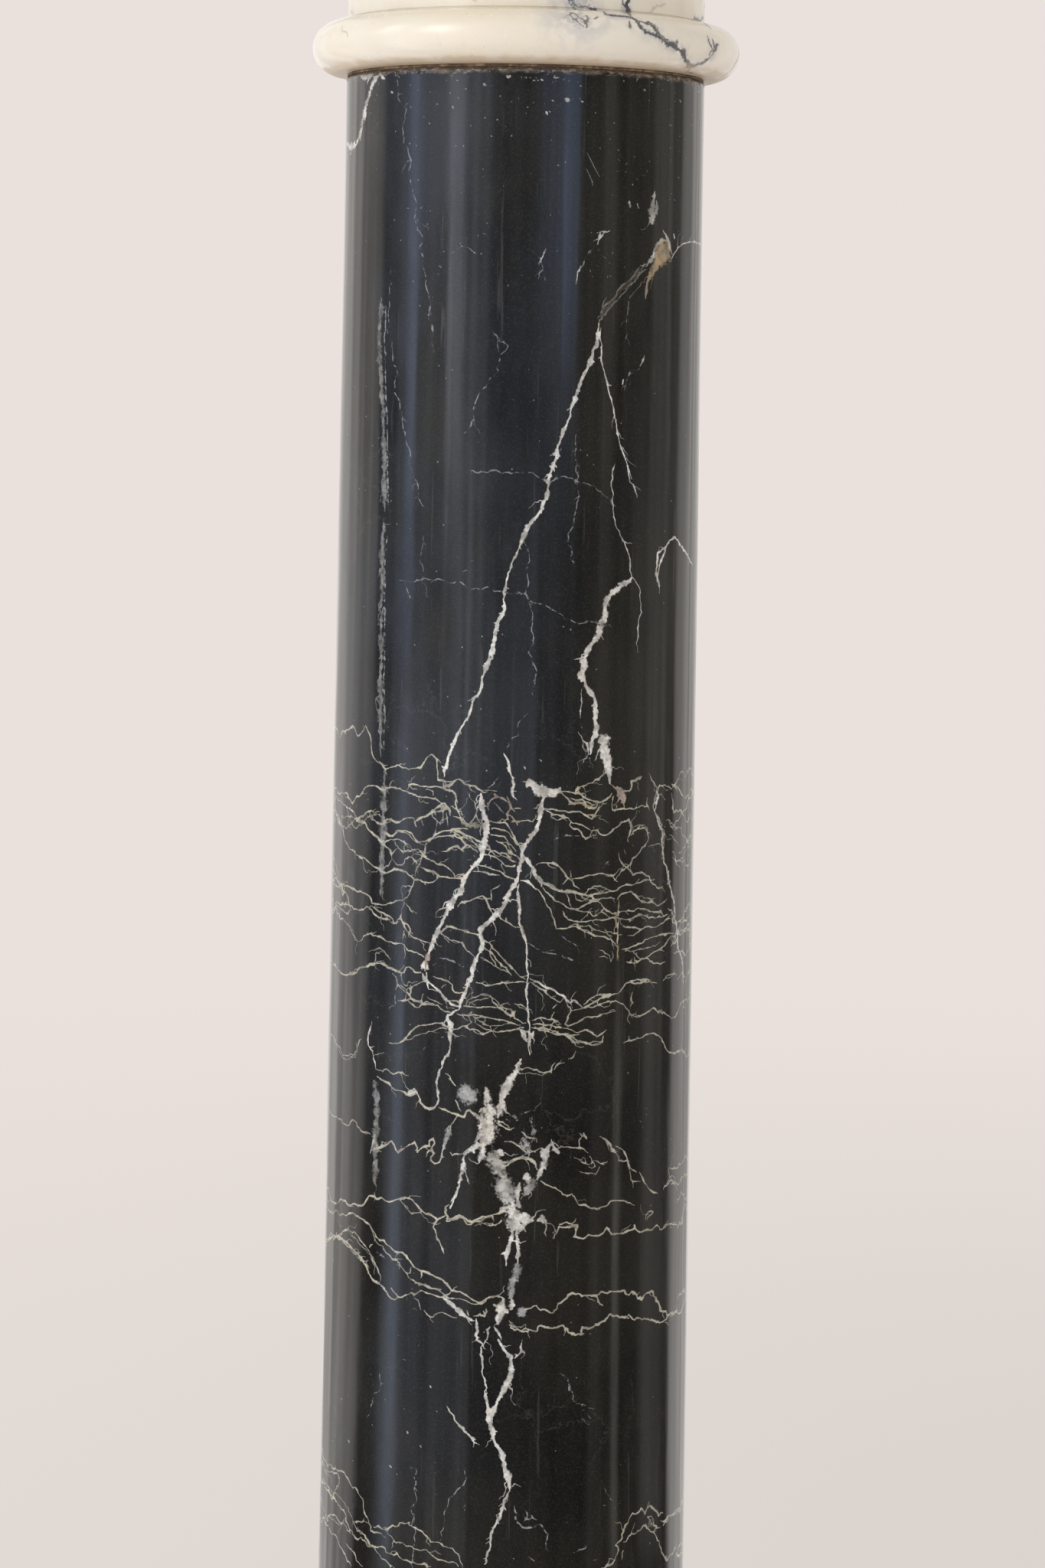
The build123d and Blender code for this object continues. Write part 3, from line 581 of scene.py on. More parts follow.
        (757, 1530, 764, 1532, 772, 1532, 778, 1534, 781, 1529, 783, 1524),
        (778, 1516, 783, 1519, 789, 1521), (804, 1497, 810, 1500),
        (806, 1508, 808, 1516, 814, 1517, 819, 1514),
        (819, 1516, 821, 1524, 823, 1532, 824, 1541, 830, 1543, 836, 1543),
        (866, 1554, 871, 1548, 876, 1541, 880, 1545, 884, 1555),
        (843, 1595, 844, 1587, 848, 1582, 853, 1583, 847, 1589, 845, 1594),
        (730, 1599, 740, 1596, 752, 1600),
        (523, 1567, 528, 1573, 533, 1580, 538, 1585, 545, 1584, 551, 1583),
        (442, 1613, 448, 1608, 455, 1604, 460, 1610, 466, 1612, 471, 1620, 477, 1627, 482, 1634, 486, 1642,
         490, 1650, 494, 1658, 497, 1666, 497, 1673),
        (516, 1698, 521, 1694, 526, 1694, 531, 1691, 537, 1688, 541, 1692, 546, 1688, 551, 1686),
        (483, 1629, 487, 1625), (511, 1682, 515, 1688, 520, 1694),
        (542, 1676, 549, 1676, 556, 1680, 563, 1683, 570, 1683, 576, 1687),
        (548, 1685, 556, 1688, 563, 1690, 571, 1693, 579, 1694, 584, 1691, 590, 1685),
        (550, 1660, 551, 1666, 550, 1669), (537, 1655, 536, 1662),
        (541, 1695, 546, 1698, 548, 1705, 550, 1711),
        (554, 1711, 559, 1718, 566, 1720, 572, 1715, 578, 1714, 583, 1716, 590, 1720, 597, 1721),
        (645, 1704, 650, 1706), (610, 1711, 612, 1718),
    )),
    VeinFamily("middle smoke", 1.6, Tone.SMOKE, 0.6, 0.08, (
        (682, 1488, 684, 1496, 688, 1503, 692, 1508), (492, 1635, 498, 1639, 503, 1643),
        (694, 1455, 696, 1470, 698, 1486), (661, 1462, 668, 1466, 676, 1463, 672, 1458, 670, 1464),
        (684, 1473, 686, 1480), (738, 1508, 745, 1512),
    )),
    VeinFamily("band right", 0.9, Tone.CREAM, 0.88, 0.15, (
        (665, 1725, 670, 1733, 681, 1738, 700, 1739), (873, 1523, 877, 1539),
    )),
    VeinFamily("band low", 1.2, Tone.CREAM, 0.9, 0.13, (
        (686, 1710, 700, 1705, 709, 1710, 722, 1715, 729, 1703, 742, 1691, 760, 1693, 778, 1692, 785, 1687,
         803, 1687, 816, 1685, 829, 1689, 838, 1697, 847, 1688, 857, 1699, 862, 1712, 871, 1717, 885, 1705),
        (778, 1693, 787, 1705),
        (665, 1730, 681, 1739, 701, 1739, 706, 1731, 724, 1734, 742, 1740, 752, 1744, 760, 1743, 760, 1733,
         778, 1730, 790, 1725, 797, 1716, 813, 1720, 829, 1724, 841, 1722, 854, 1725, 867, 1725, 875, 1715),
        (806, 1718, 813, 1720, 822, 1722),
    )),
    VeinFamily("foot faint", 0.6, Tone.SMOKE, 0.7, 0.12, (
        (608, 1918, 603, 1941, 586, 1960, 580, 1976, 580, 1991, 575, 2012),
        (542, 1916, 542, 1941, 544, 1962, 541, 1983, 542, 2004, 540, 2027, 539, 2048),
        (496, 1790, 490, 1819, 482, 1849), (732, 1794, 743, 1809, 749, 1830, 764, 1844, 774, 1853),
        (749, 2028, 759, 2024, 770, 2017), (785, 1934, 795, 1953, 803, 1972),
        (660, 1440, 673, 1460, 690, 1452, 700, 1450), (692, 1460, 697, 1488),
    )),
    VeinFamily("coil", 0.9, Tone.SMOKE, 0.7, 0.16, (
        (672, 1966, 676, 1989, 686, 1996, 697, 1995, 707, 1991, 716, 2004, 718, 2027),
        (684, 1970, 686, 1985, 695, 1980, 701, 1985),
    )),
    VeinFamily("foot left", 0.85, Tone.CREAM, 0.88, 0.14, (
        (432, 1913, 442, 1922, 454, 1930, 465, 1943, 474, 1958, 476, 1976, 482, 1989, 492, 2001, 504, 2008),
        (429, 1922, 444, 1934),
        (427, 1938, 434, 1953, 442, 1966, 452, 1987, 461, 2004, 476, 2012, 490, 2024, 503, 2037, 515, 2048),
        (425, 1978, 438, 1979, 450, 1991, 459, 2004), (463, 1987, 476, 1983),
        (488, 1995, 499, 1997, 513, 1992, 522, 1989, 534, 1988, 545, 1997, 557, 2006, 572, 2014, 582, 2020,
         591, 2022, 600, 2033, 604, 2048),
        (467, 1995, 480, 2010, 496, 2020, 509, 2029, 526, 2037, 545, 2043, 563, 2046),
        (515, 2012, 526, 2015, 538, 2020, 549, 2025, 557, 2024, 564, 2031, 582, 2039, 599, 2046),
        (429, 1993, 440, 2008, 448, 2025, 459, 2045), (452, 2016, 465, 2033, 474, 2046),
    )),
    VeinFamily("foot right", 1.1, Tone.CREAM, 0.9, 0.14, (
        (804, 2033, 804, 2018, 812, 2004, 820, 1989, 826, 1976, 837, 1970, 842, 1978, 848, 1966, 856, 1973,
         866, 1976),
        (814, 2014, 824, 2004, 833, 1999, 843, 1993, 852, 2001, 860, 2012, 865, 2029, 871, 2039, 879, 2029,
         883, 2020),
        (845, 1981, 852, 1991, 862, 1995), (804, 2033, 799, 2043, 785, 2048), (812, 2037, 814, 2025),
    )),
    VeinFamily("specks", 1.6, Tone.WHITE, 0.6, 0.1, (
        (705, 992, 707, 994), (685, 1002, 686, 1004), (721, 131, 723, 132), (714, 147, 715, 149),
        (759, 132, 761, 133), (740, 130, 742, 131), (707, 104, 709, 105), (724, 101, 727, 102),
        (888, 131, 889, 133), (841, 117, 843, 118), (511, 120, 513, 121), (663, 100, 666, 100),
        (632, 110, 634, 111), (591, 139, 592, 141), (509, 1914, 511, 1916), (455, 1881, 456, 1883),
        (532, 1870, 533, 1872), (446, 1826, 447, 1828), (562, 1810, 563, 1812), (549, 1888, 550, 1890),
    )),
)

# What runs in the collar's bead and neck, in the same pixels.
COLLAR_VEINS = (
    VeinFamily("collar wash", 12.0, Tone.SMOKE, 0.62, 0.1, (
        (747, 0, 752, 6, 758, 11), (758, 20, 761, 26, 763, 31), (750, 20, 757, 22),
    )),
    VeinFamily("collar smear", 5.4, Tone.SMOKE, 0.42, 0.1, (
        (758, 11, 768, 12, 780, 15, 798, 20), (815, 24, 826, 26, 838, 30, 850, 36, 860, 45),
        (926, 78, 934, 68),
    )),
    VeinFamily("collar wedge", 3.2, Tone.INK, 0.8, 0.1, (
        (744, 0, 750, 5, 758, 8, 765, 9),
    )),
    VeinFamily("collar dark", 4.4, Tone.INK, 0.9, 0.1, (
        (845, 29, 850, 33, 855, 39), (861, 44, 866, 51, 869, 54), (891, 66, 893, 70),
        (930, 72, 934, 64, 937, 58),
    )),
    VeinFamily("collar main", 2.6, Tone.INK, 0.9, 0.09, (
        (764, 8, 776, 12, 790, 17, 800, 20, 812, 21, 820, 22, 830, 26, 842, 30, 850, 33, 857, 40, 861, 46,
         868, 54, 876, 58, 884, 63, 891, 67, 894, 74, 898, 81, 901, 87, 907, 86, 914, 83, 922, 79, 929, 73,
         934, 65, 938, 57),
        (813, 0, 816, 8, 820, 16, 824, 22), (829, 27, 838, 36, 848, 43, 858, 47, 866, 53),
    )),
    VeinFamily("collar fine", 1.7, Tone.INK, 0.8, 0.12, (
        (741, 20, 746, 17, 752, 19, 758, 24, 764, 30, 766, 36, 767, 28, 765, 20),
        (745, 20, 754, 28, 762, 34), (776, 25, 780, 21), (822, 27, 823, 36), (832, 28, 836, 38),
        (923, 46, 927, 57, 930, 65, 926, 73), (930, 50, 932, 62), (922, 0, 924, 14, 927, 26, 929, 38),
        (742, 0, 748, 8, 756, 14), (866, 53, 872, 52), (880, 60, 884, 54), (903, 88, 896, 94, 888, 97),
    )),
    VeinFamily("collar faint", 1.3, Tone.INK, 0.26, 0.12, (
        (450, 0, 452, 10, 454, 22), (447, 34, 451, 41, 455, 48), (617, 0, 623, 2),
        (843, 17, 856, 10, 870, 4),
    )),
)


@dataclass(frozen=True)
class PhotoCamera:
    """The photograph's camera, in metres and radians, fitted to the shaft's edges and the collar."""

    place: tuple[float, float, float] = (0.0041, -1.7351, 0.7796)
    pitch: float = math.radians(6.307)
    roll: float = math.radians(-0.975)
    lens: float = 85.0
    sensor: float = 36.0
    width: int = 1365
    height: int = 2048
    metres_per_pixel: float = 0.000353
    inward_step: float = 1.5
    inward_tries: int = 16

    def axes(self) -> tuple[Vector, Vector, Vector]:
        """Returns the camera's right, up and forward directions."""
        forward = Vector((0.0, math.cos(self.pitch), -math.sin(self.pitch)))
        level = Vector((1.0, 0.0, 0.0))
        upright = level.cross(forward)
        right = level * math.cos(self.roll) - upright * math.sin(self.roll)
        up = level * math.sin(self.roll) + upright * math.cos(self.roll)
        return right, up, forward

    def ray(self, x: float, y: float) -> Vector:
        """Gives the direction of sight through a pixel.

        Args:
            x: The pixel's column.
            y: The pixel's row.

        Returns:
            A unit vector.
        """
        right, up, forward = self.axes()
        focal = self.lens / self.sensor * self.height
        across = (x - self.width / 2) / focal
        down = (y - self.height / 2) / focal
        return (forward + right * across - up * down).normalized()

    def hit(self, tree: BVHTree, x: float, y: float, middle: float) -> Vector | None:
        """Finds the point of a stone under a pixel, moving the pixel inwards where it just misses.

        Args:
            tree: The stone's faces.
            x: The pixel's column.
            y: The pixel's row.
            middle: The column of the stone's axis.

        Returns:
            The point, or None where the pixel is far from the stone.
        """
        step = math.copysign(self.inward_step, middle - x)
        for _ in range(self.inward_tries):
            point, *_ = tree.ray_cast(Vector(self.place), self.ray(x, y))
            if point is not None:
                return point
            x += step
        return None

    def build(self) -> bpy.types.Object:
        """Puts the camera into the scene and returns it."""
        right, up, forward = self.axes()
        data = bpy.data.cameras.new("photo_camera")
        data.lens = self.lens
        data.sensor_width = self.sensor
        data.sensor_fit = "AUTO"
        camera = bpy.data.objects.new("photo_camera", data)
        turned = Matrix((right, up, -forward)).transposed().to_4x4()
        camera.matrix_world = Matrix.Translation(self.place) @ turned
        bpy.context.scene.collection.objects.link(camera)
        bpy.context.scene.camera = camera
        return camera


@dataclass(frozen=True)
class ProfileRun:
    """One run of a turned profile: radius and height pairs, and the rows that it is cut into.

    rim is how many times finer than the stone's own columns the row at its end is.
    """

    points: tuple[Pair, ...]
    rows: int
    rim: int = 1


def straight(start: Pair, end: Pair, rows: int, rim: int = 1) -> ProfileRun:
    """Returns a straight run from start to end."""
    return ProfileRun((start, end), rows, rim)


ARC_POINTS = 97


def arc(centre: Pair, half_axes: Pair, start: float, sweep: float, rows: int) -> ProfileRun:
    """Makes a curved run of a profile.

    Args:
        centre: Radius and height of the arc's middle.
        half_axes: Its half axes along the radius and the height.
        start: Angle of its first point, in degrees.
        sweep: Angle that it covers, in degrees.
        rows: The rows that it is cut into.

    Returns:
        The run.
    """
    turns = np.radians(np.linspace(start, start + sweep, ARC_POINTS))
    radii = centre[0] + half_axes[0] * np.cos(turns)
    heights = centre[1] + half_axes[1] * np.sin(turns)
    return ProfileRun(tuple(zip(radii.tolist(), heights.tolist())), rows)


class TurnedProfile:
    """The outline that a stone is turned to, measured along its length from the foot up."""

    def __init__(self, runs: list[ProfileRun]) -> None:
        """Measures the runs.

        Args:
            runs: The runs in order, each starting where the last one ends.
        """
        self.runs = runs
        self.starts = [0.0]
        self.tables: list[tuple[np.ndarray, np.ndarray, np.ndarray]] = []
        for run in runs:
            points = np.array(run.points)
            steps = np.hypot(*np.diff(points, axis=0).T)
            along = self.starts[-1] + np.concatenate([[0.0], np.cumsum(steps)])
            slope = np.gradient(points, along, axis=0)
            normal = np.stack([slope[:, 1], -slope[:, 0]], axis=1)
            normal /= np.linalg.norm(normal, axis=1, keepdims=True)
            self.tables.append((along, points, normal))
            self.starts.append(float(along[-1]))
        self.length = self.starts[-1]
        self.along = np.concatenate([along[:-1] for along, _, _ in self.tables] + [[self.length]])
        self.outline = np.concatenate([points[:-1] for _, points, _ in self.tables])
        self.outline = np.vstack([self.outline, self.tables[-1][1][-1]])

    def place(self, along: np.ndarray) -> tuple[np.ndarray, np.ndarray]:
        """Returns the radius and the height at distances along the outline."""
        radius = np.interp(along, self.along, self.outline[:, 0])
        height = np.interp(along, self.along, self.outline[:, 1])
        return radius, height

    def normal(self, along: np.ndarray, run: np.ndarray) -> tuple[np.ndarray, np.ndarray]:
        """Gives the outline's outward direction.

        Args:
            along: Distances along the outline.
            run: The run that each belongs to, which settles it at a corner.

        Returns:
            Its parts along the radius and the height.
        """
        outward, upward = np.zeros(len(along)), np.zeros(len(along))
        for number, (table, _, normal) in enumerate(self.tables):
            own = run == number
            outward[own] = np.interp(along[own], table, normal[:, 0])
            upward[own] = np.interp(along[own], table, normal[:, 1])
        return outward, upward

    def unroll(self, radius: float, height: float) -> float:
        """Returns the distance along the outline of its point nearest to a radius and height."""
        start, end = self.outline[:-1], self.outline[1:]
        step = end - start
        offset = np.array([radius, height]) - start
        share = np.clip((offset * step).sum(1) / (step * step).sum(1), 0.0, 1.0)
        away = np.linalg.norm(offset - step * share[:, None], axis=1)
        nearest = int(away.argmin())
        low, high = self.along[nearest], self.along[nearest + 1]
        return float(low + (high - low) * share[nearest])


@dataclass
class Strand:
    """One vein on the unrolled skin, with half its width at each station.

    top is the measure on its middle line: 1 for a solid vein, less for one that the stone shows through.
    """

    stations: np.ndarray
    half: np.ndarray
    tone: float
    weight: float
    top: float = 1.0


class VeinNet:
    """All veins of one turned stone, drawn on its skin as if it were unrolled flat, in metres.

    Widths swell and shrink between the two shares in SWELL, with a knot every SWELL_STEP stations, and
    taper over the last TAPER stations. A vein wider than WASH_HALF is a wash, which stays mottled.
    """

    SEAM_GAP = 0.0005
    MARGIN = 0.0002
    HAIR_HALF = 0.00013
    DUST_HALF: Pair = (0.00009, 0.00024)
    WASH_HALF = 0.00115
    WASH_TOP = 0.5
    SWELL: Pair = (0.45, 1.45)
    SWELL_STEP = 3
    GRAIN: Pair = (0.7, 1.3)
    TAPER = 6.0
    TAPER_LEAST = 0.3
    SIDE_TURN = 1.0
    BRAID_STATIONS = 12
    SPUR_SHARE = 0.34
    COURSE_STEPS = 13
    NEAR_SHARE = 3.2
    NEAR_GAP = 0.0006

    def __init__(self, profile: TurnedProfile, reference: float, station: float, seed: int) -> None:
        """Starts an empty net.

        Args:
            profile: The stone's outline.
            reference: The radius that angles are unrolled at.
            station: The longest step between two stations of a vein.
            seed: Settles every random draw.
        """
        self.profile = profile
        self.reference = reference
        self.station = station
        self.edge = math.pi * reference
        self.draw = np.random.default_rng(seed)
        self.strands: list[Strand] = []
        self.seam: list[float] = []
        self.ends: list[tuple[float, float, float]] = []

    def flatten(self, point: Vector) -> Pair:
        """Returns the unrolled place of a point of the stone."""
        turn = math.atan2(point.x, -point.y)
        return turn * self.reference, self.profile.unroll(math.hypot(point.x, point.y), point.z)

    def trace(self, family: VeinFamily, camera: PhotoCamera, tree: BVHTree, middle: float) -> None:
        """Draws a family of veins where the photograph shows them.

        Args:
            family: The veins.
            camera: The photograph's camera.
            tree: The stone's faces.
            middle: The pixel column of the stone's axis.
        """
        half = family.half * camera.metres_per_pixel
        LOG.info("tracing %s: %d paths", family.name, len(family.paths))
        for path in family.paths:
            hits = [camera.hit(tree, x, y, middle) for x, y in zip(path[::2], path[1::2])]
            flat = [self.flatten(point) for point in hits if point is not None]
            if len(flat) < 2:
                continue
            self.add(np.array(flat), half, family.tone.value, family.weight, family.jitter)
            for u, s in (flat[0], flat[-1]):
                if abs(u) > self.SIDE_TURN * self.reference and family.tone is Tone.CREAM:
                    self.ends.append((u, s, half))

    def roughen(self, points: np.ndarray, jitter: float) -> np.ndarray:
        """Breaks a course into short crooked steps.

        Args:
            points: Its turning points.
            jitter: How far each new middle point strays, as a share of its step.

        Returns:
            The stations.
        """
        while True:
            steps = np.diff(points, axis=0)
            lengths = np.hypot(*steps.T)
            if lengths.max() <= self.station:
                return points
            across = np.stack([-steps[:, 1], steps[:, 0]], axis=1)
            middle = (points[:-1] + points[1:]) / 2
            middle += across * self.draw.normal(0.0, jitter, (len(steps), 1))
            both = np.empty((len(points) + len(middle), 2))
            both[0::2] = points
            both[1::2] = middle
            wanted = np.ones(len(both), bool)
            wanted[1::2] = lengths > self.station
            points = both[wanted]

    def widths(self, count: int, half: float) -> np.ndarray:
        """Returns half widths that swell and shrink along a vein and taper at both ends."""
        knots = self.draw.uniform(*self.SWELL, count // self.SWELL_STEP + 3)
        swell = np.interp(np.arange(count) / self.SWELL_STEP, np.arange(len(knots)), knots)
        grain = self.draw.uniform(*self.GRAIN, count)
        index = np.arange(count)
        run = min(self.TAPER, 0.35 * count + 1.0)
        taper = np.minimum(1.0, (np.minimum(index, count - 1 - index) + 1.5) / run)
        return half * swell * grain * np.maximum(taper, self.TAPER_LEAST)

    def add(self, points: np.ndarray, half: float, tone: float, weight: float, jitter: float) -> None:
        """Adds a vein, folded at the seam behind the column.

        Args:
            points: Its turning points on the unrolled skin.
            half: Half its width.
            tone: Its place on the colour ramp.
            weight: How much it hides the stone.
            jitter: How far its course strays.
        """
        stations = self.roughen(points, jitter)
        low, high = self.MARGIN, self.profile.length - self.MARGIN
        inside = (stations[:, 1] > low) & (stations[:, 1] < high)
        stations = stations[inside]
        if len(stations) < 2:
            return
        top = self.WASH_TOP if half > self.WASH_HALF else 1.0
        half_widths = self.widths(len(stations), half)
        for piece, piece_half in self.fold(stations, half_widths):
            if len(piece) >= 2:
                self.strands.append(Strand(piece, piece_half, tone, weight, top))

    def fold(self, stations: np.ndarray, half: np.ndarray) -> list[tuple[np.ndarray, np.ndarray]]:
        """Splits a vein where it crosses the seam, so that both sides share the crossing.

        Args:
            stations: The vein's stations, whose angle may run past the seam.
            half: Half its width at each.

        Returns:
            The pieces, with every angle on the sheet.
        """
        turn = 2 * self.edge
        cell = np.floor((stations[:, 0] + self.edge) / turn)
        pieces, points, halves = [], [], []
        for index, (u, s) in enumerate(stations):
            if index and cell[index] != cell[index - 1]:
                before, after = stations[index - 1], stations[index]
                wall = turn * max(cell[index], cell[index - 1]) - self.edge
                share = (wall - before[0]) / (after[0] - before[0])
                crossing = self.crossing(float(before[1] + share * (after[1] - before[1])))
                side = math.copysign(self.edge, cell[index] - cell[index - 1])
                points.append((side, crossing))
                halves.append(half[index])
                pieces.append((np.array(points), np.array(halves)))
                points, halves = [(-side, crossing)], [half[index]]
            shifted = u - turn * cell[index]
            if abs(shifted) < self.edge - self.MARGIN:
                points.append((shifted, s))
                halves.append(half[index])
        pieces.append((np.array(points), np.array(halves)))
        return pieces

    def crossing(self, along: float) -> float:
        """Returns a free place on the seam near a distance along the outline, and keeps it."""
        fixed = self.seam_rows()
        step = math.copysign(self.SEAM_GAP, self.profile.length / 2 - along)
        while min(abs(along - taken) for taken in fixed + self.seam) < self.SEAM_GAP:
            along += step
        self.seam.append(along)
        return along

    def seam_rows(self) -> list[float]:
        """Returns the distances along the outline where the sheet's rows meet its sides."""
        rows = [0.0]
        for start, end, run in zip(self.profile.starts, self.profile.starts[1:], self.profile.runs):
            rows.extend(np.linspace(start, end, run.rows + 1)[1:].tolist())
        return rows

    def braid(self, tone: Tone, chance: float, reach: Pair, thinner: float) -> None:
        """Adds a companion beside some veins of a tone, which leaves its vein and comes back.

        Args:
            tone: The veins' tone.
            chance: The share of them that get one.
            reach: The least and most that it stands off.
            thinner: Its width, as a share of the vein's.
        """
        for strand in list(self.strands):
            count = len(strand.stations)
            if count < self.BRAID_STATIONS or strand.tone != tone.value or self.draw.uniform() > chance:
                continue
            first = int(self.draw.integers(0, count // 3))
            last = int(self.draw.integers(count * 2 // 3, count - 1))
            picks = np.linspace(first, last, max(4, (last - first) // 4)).astype(int)
            base = strand.stations[picks]
            steps = np.gradient(base, axis=0)
            across = np.stack([-steps[:, 1], steps[:, 0]], axis=1)
            across /= np.linalg.norm(across, axis=1, keepdims=True) + 1e-9
            bow = np.sin(np.linspace(0.0, math.pi, len(picks)))[:, None]
            offset = self.draw.uniform(*reach) * self.draw.choice([-1.0, 1.0])
            course = base + across * bow * offset
            half = float(strand.half.mean()) * thinner
            self.add(course, half, strand.tone, strand.weight * 0.85, 0.12)

    def hairs(self, spacing: float, reach: Pair, thinner: float) -> None:
        """Adds short side hairs along the veins.

        Args:
            spacing: The distance along a vein from one hair to the next, on average.
            reach: The least and most length of a hair.
            thinner: Its width, as a share of the vein's.
        """
        for strand in list(self.strands):
            for index, along in self.sprouts(strand, spacing):
                bearing = along + self.draw.uniform(0.15, 0.75) * self.draw.choice([-1.0, 1.0])
                size = self.draw.uniform(*reach)
                tip = strand.stations[index] + size * np.array([math.cos(bearing), math.sin(bearing)])
                half = min(float(strand.half[index]) * thinner, self.HAIR_HALF)
                course = np.array([strand.stations[index], tip])
                self.add(course, half, strand.tone, strand.weight * 0.7, 0.16)

    def sprouts(self, strand: Strand, spacing: float) -> Iterator[tuple[int, float]]:
        """Picks stations of a vein that something grows from.

        Args:
            strand: The vein.
            spacing: The distance along it from one to the next, on average.

        Yields:
            The number of each station, and the vein's bearing there in radians.
        """
        for index in range(1, len(strand.stations) - 1):
            step = strand.stations[index + 1] - strand.stations[index]
            if self.draw.uniform() <= float(np.hypot(*step)) / spacing:
                yield index, math.atan2(step[1], step[0])

    def spurs(self, stout: float, spacing: float, reach: Pair) -> None:
        """Adds short thorns to the stout veins, so that their borders look broken.

        Args:
            stout: The least half width of a vein that gets them.
            spacing: The distance along a vein from one to the next, on average.
            reach: The least and most length of one.
        """
        for strand in list(self.strands):
            if strand.half.mean() < stout:
                continue
            for index, along in self.sprouts(strand, spacing):
                bearing = along + self.draw.choice([-1.0, 1.0]) * self.draw.uniform(0.3, 1.3)
                way = np.array([math.cos(bearing), math.sin(bearing)])
                start, half = strand.stations[index], float(strand.half[index])
                course = np.array([start, start + way * (half + self.draw.uniform(*reach))])
                self.add(course, half * self.SPUR_SHARE, strand.tone, strand.weight, 0.18)

    def scatter(
        self, band: Pair, clusters: int, size: Pair, tone: Tone, weight: Pair, spread: float = 0.006
    ) -> None:
        """Strews short strokes in clusters over a band of the skin, such as chips, dust and scratches.

        Args:
            band: The band's foot and top, along the outline.
            clusters: How many clusters there are.
            size: The least and most length of a stroke.
            tone: Their colour.
            weight: The least and most that they hide the stone.
            spread: How far a cluster reaches.
        """
        for _ in range(clusters):
            middle = np.array([self.draw.uniform(-self.edge, self.edge), self.draw.uniform(*band)])
            lean = self.draw.uniform(0.0, math.pi)
            for _ in range(int(self.draw.integers(2, 7))):
                start = middle + self.draw.normal(0.0, spread / 2, 2)
                start[0] = np.clip(start[0], spread - self.edge, self.edge - spread)
                start[1] = np.clip(start[1], *band)
                length = self.draw.uniform(*size)
                bearing = lean + self.draw.normal(0.0, 0.7)
                step = length * np.array([math.cos(bearing), 0.7 * math.sin(bearing)])
                half = self.draw.uniform(*self.DUST_HALF)
                course = np.array([start, start + step / 2, start + step])
                self.add(course, half, tone.value, self.draw.uniform(*weight), 0.2)

    def round_back(self, sway: float) -> None:
        """Leads the cream hairlines that leave the front on the right round to those on the left.

        Args:
            sway: How far they stray on the way, in metres.
        """
        right = sorted((s, u, half) for u, s, half in self.ends if u > 0)
        left = sorted((s, u, half) for u, s, half in self.ends if u < 0)
        count = max(len(right), len(left))
        for number in range(count):
            s_right, u_right, half = right[number * len(right) // count]
            s_left, u_left, _ = left[number * len(left) // count]
            steps = np.linspace(0.0, 1.0, 15)
            u = u_right + (u_left + 2 * self.edge - u_right) * steps
            drift = np.cumsum(self.draw.normal(0.0, 1.0, len(steps)))
            drift -= steps * drift[-1]
            s = s_right + (s_left - s_right) * steps + drift * sway
            self.add(np.stack([u, s], axis=1), half, Tone.CREAM.value, 0.84, 0.15)

    def bolt(self, start: Pair, end: Pair, half: float, tone: Tone, bend: float) -> None:
        """Adds a stout crooked vein from start to end, on the unrolled skin.

        Args:
            start: Its first point.
            end: Its last point.
            half: Half its width.
            tone: Its colour.
            bend: How far it strays, in metres.
        """
        steps = np.linspace(0.0, 1.0, self.COURSE_STEPS)
        course = np.array(start) + np.outer(steps, np.array(end) - np.array(start))
        drift = np.cumsum(self.draw.normal(0.0, bend / 3, len(steps)))
        drift -= steps * drift[-1]
        course[:, 0] += drift
        self.add(course, half, tone.value, 1.0, 0.09)

    def measure(self, flat: np.ndarray) -> np.ndarray:
        """Works out what the veins are like at points of the unrolled skin.

        Args:
            flat: The points.

        Returns:
            Three numbers a point: 1 on a vein's middle line, 0 at its border and negative outside,
            then the tone and the weight of that vein.
        """
        made = np.zeros((len(flat), 3))
        made[:, 0] = FAR_MEASURE
        for strand in self.strands:
            reach = self.NEAR_SHARE * strand.half.max() + self.NEAR_GAP
            low, high = strand.stations.min(0) - reach, strand.stations.max(0) + reach
            near = np.nonzero(((flat >= low) & (flat <= high)).all(1))[0]
            if not len(near):
                continue
            start, end = strand.stations[:-1], strand.stations[1:]
            step = end - start
            square = np.maximum((step * step).sum(1), 1e-14)
            offset = flat[near][:, None, :] - start[None]
            share = np.clip((offset * step).sum(2) / square, 0.0, 1.0)
            away = np.linalg.norm(offset - step * share[:, :, None], axis=2)
            half = strand.half[:-1] + share * (strand.half[1:] - strand.half[:-1])
            best = np.minimum((1.0 - away / half).max(1), strand.top)
            better = best > made[near, 0]
            chosen = near[better]
            made[chosen, 0] = best[better]
            made[chosen, 1] = strand.tone
            made[chosen, 2] = strand.weight
        return made


@dataclass
class Faces:
    """Faces that close a skin where its veined outside ends."""

    places: list[tuple[float, float, float]] = field(default_factory=list)
    polygons: list[tuple[int, ...]] = field(default_factory=list)


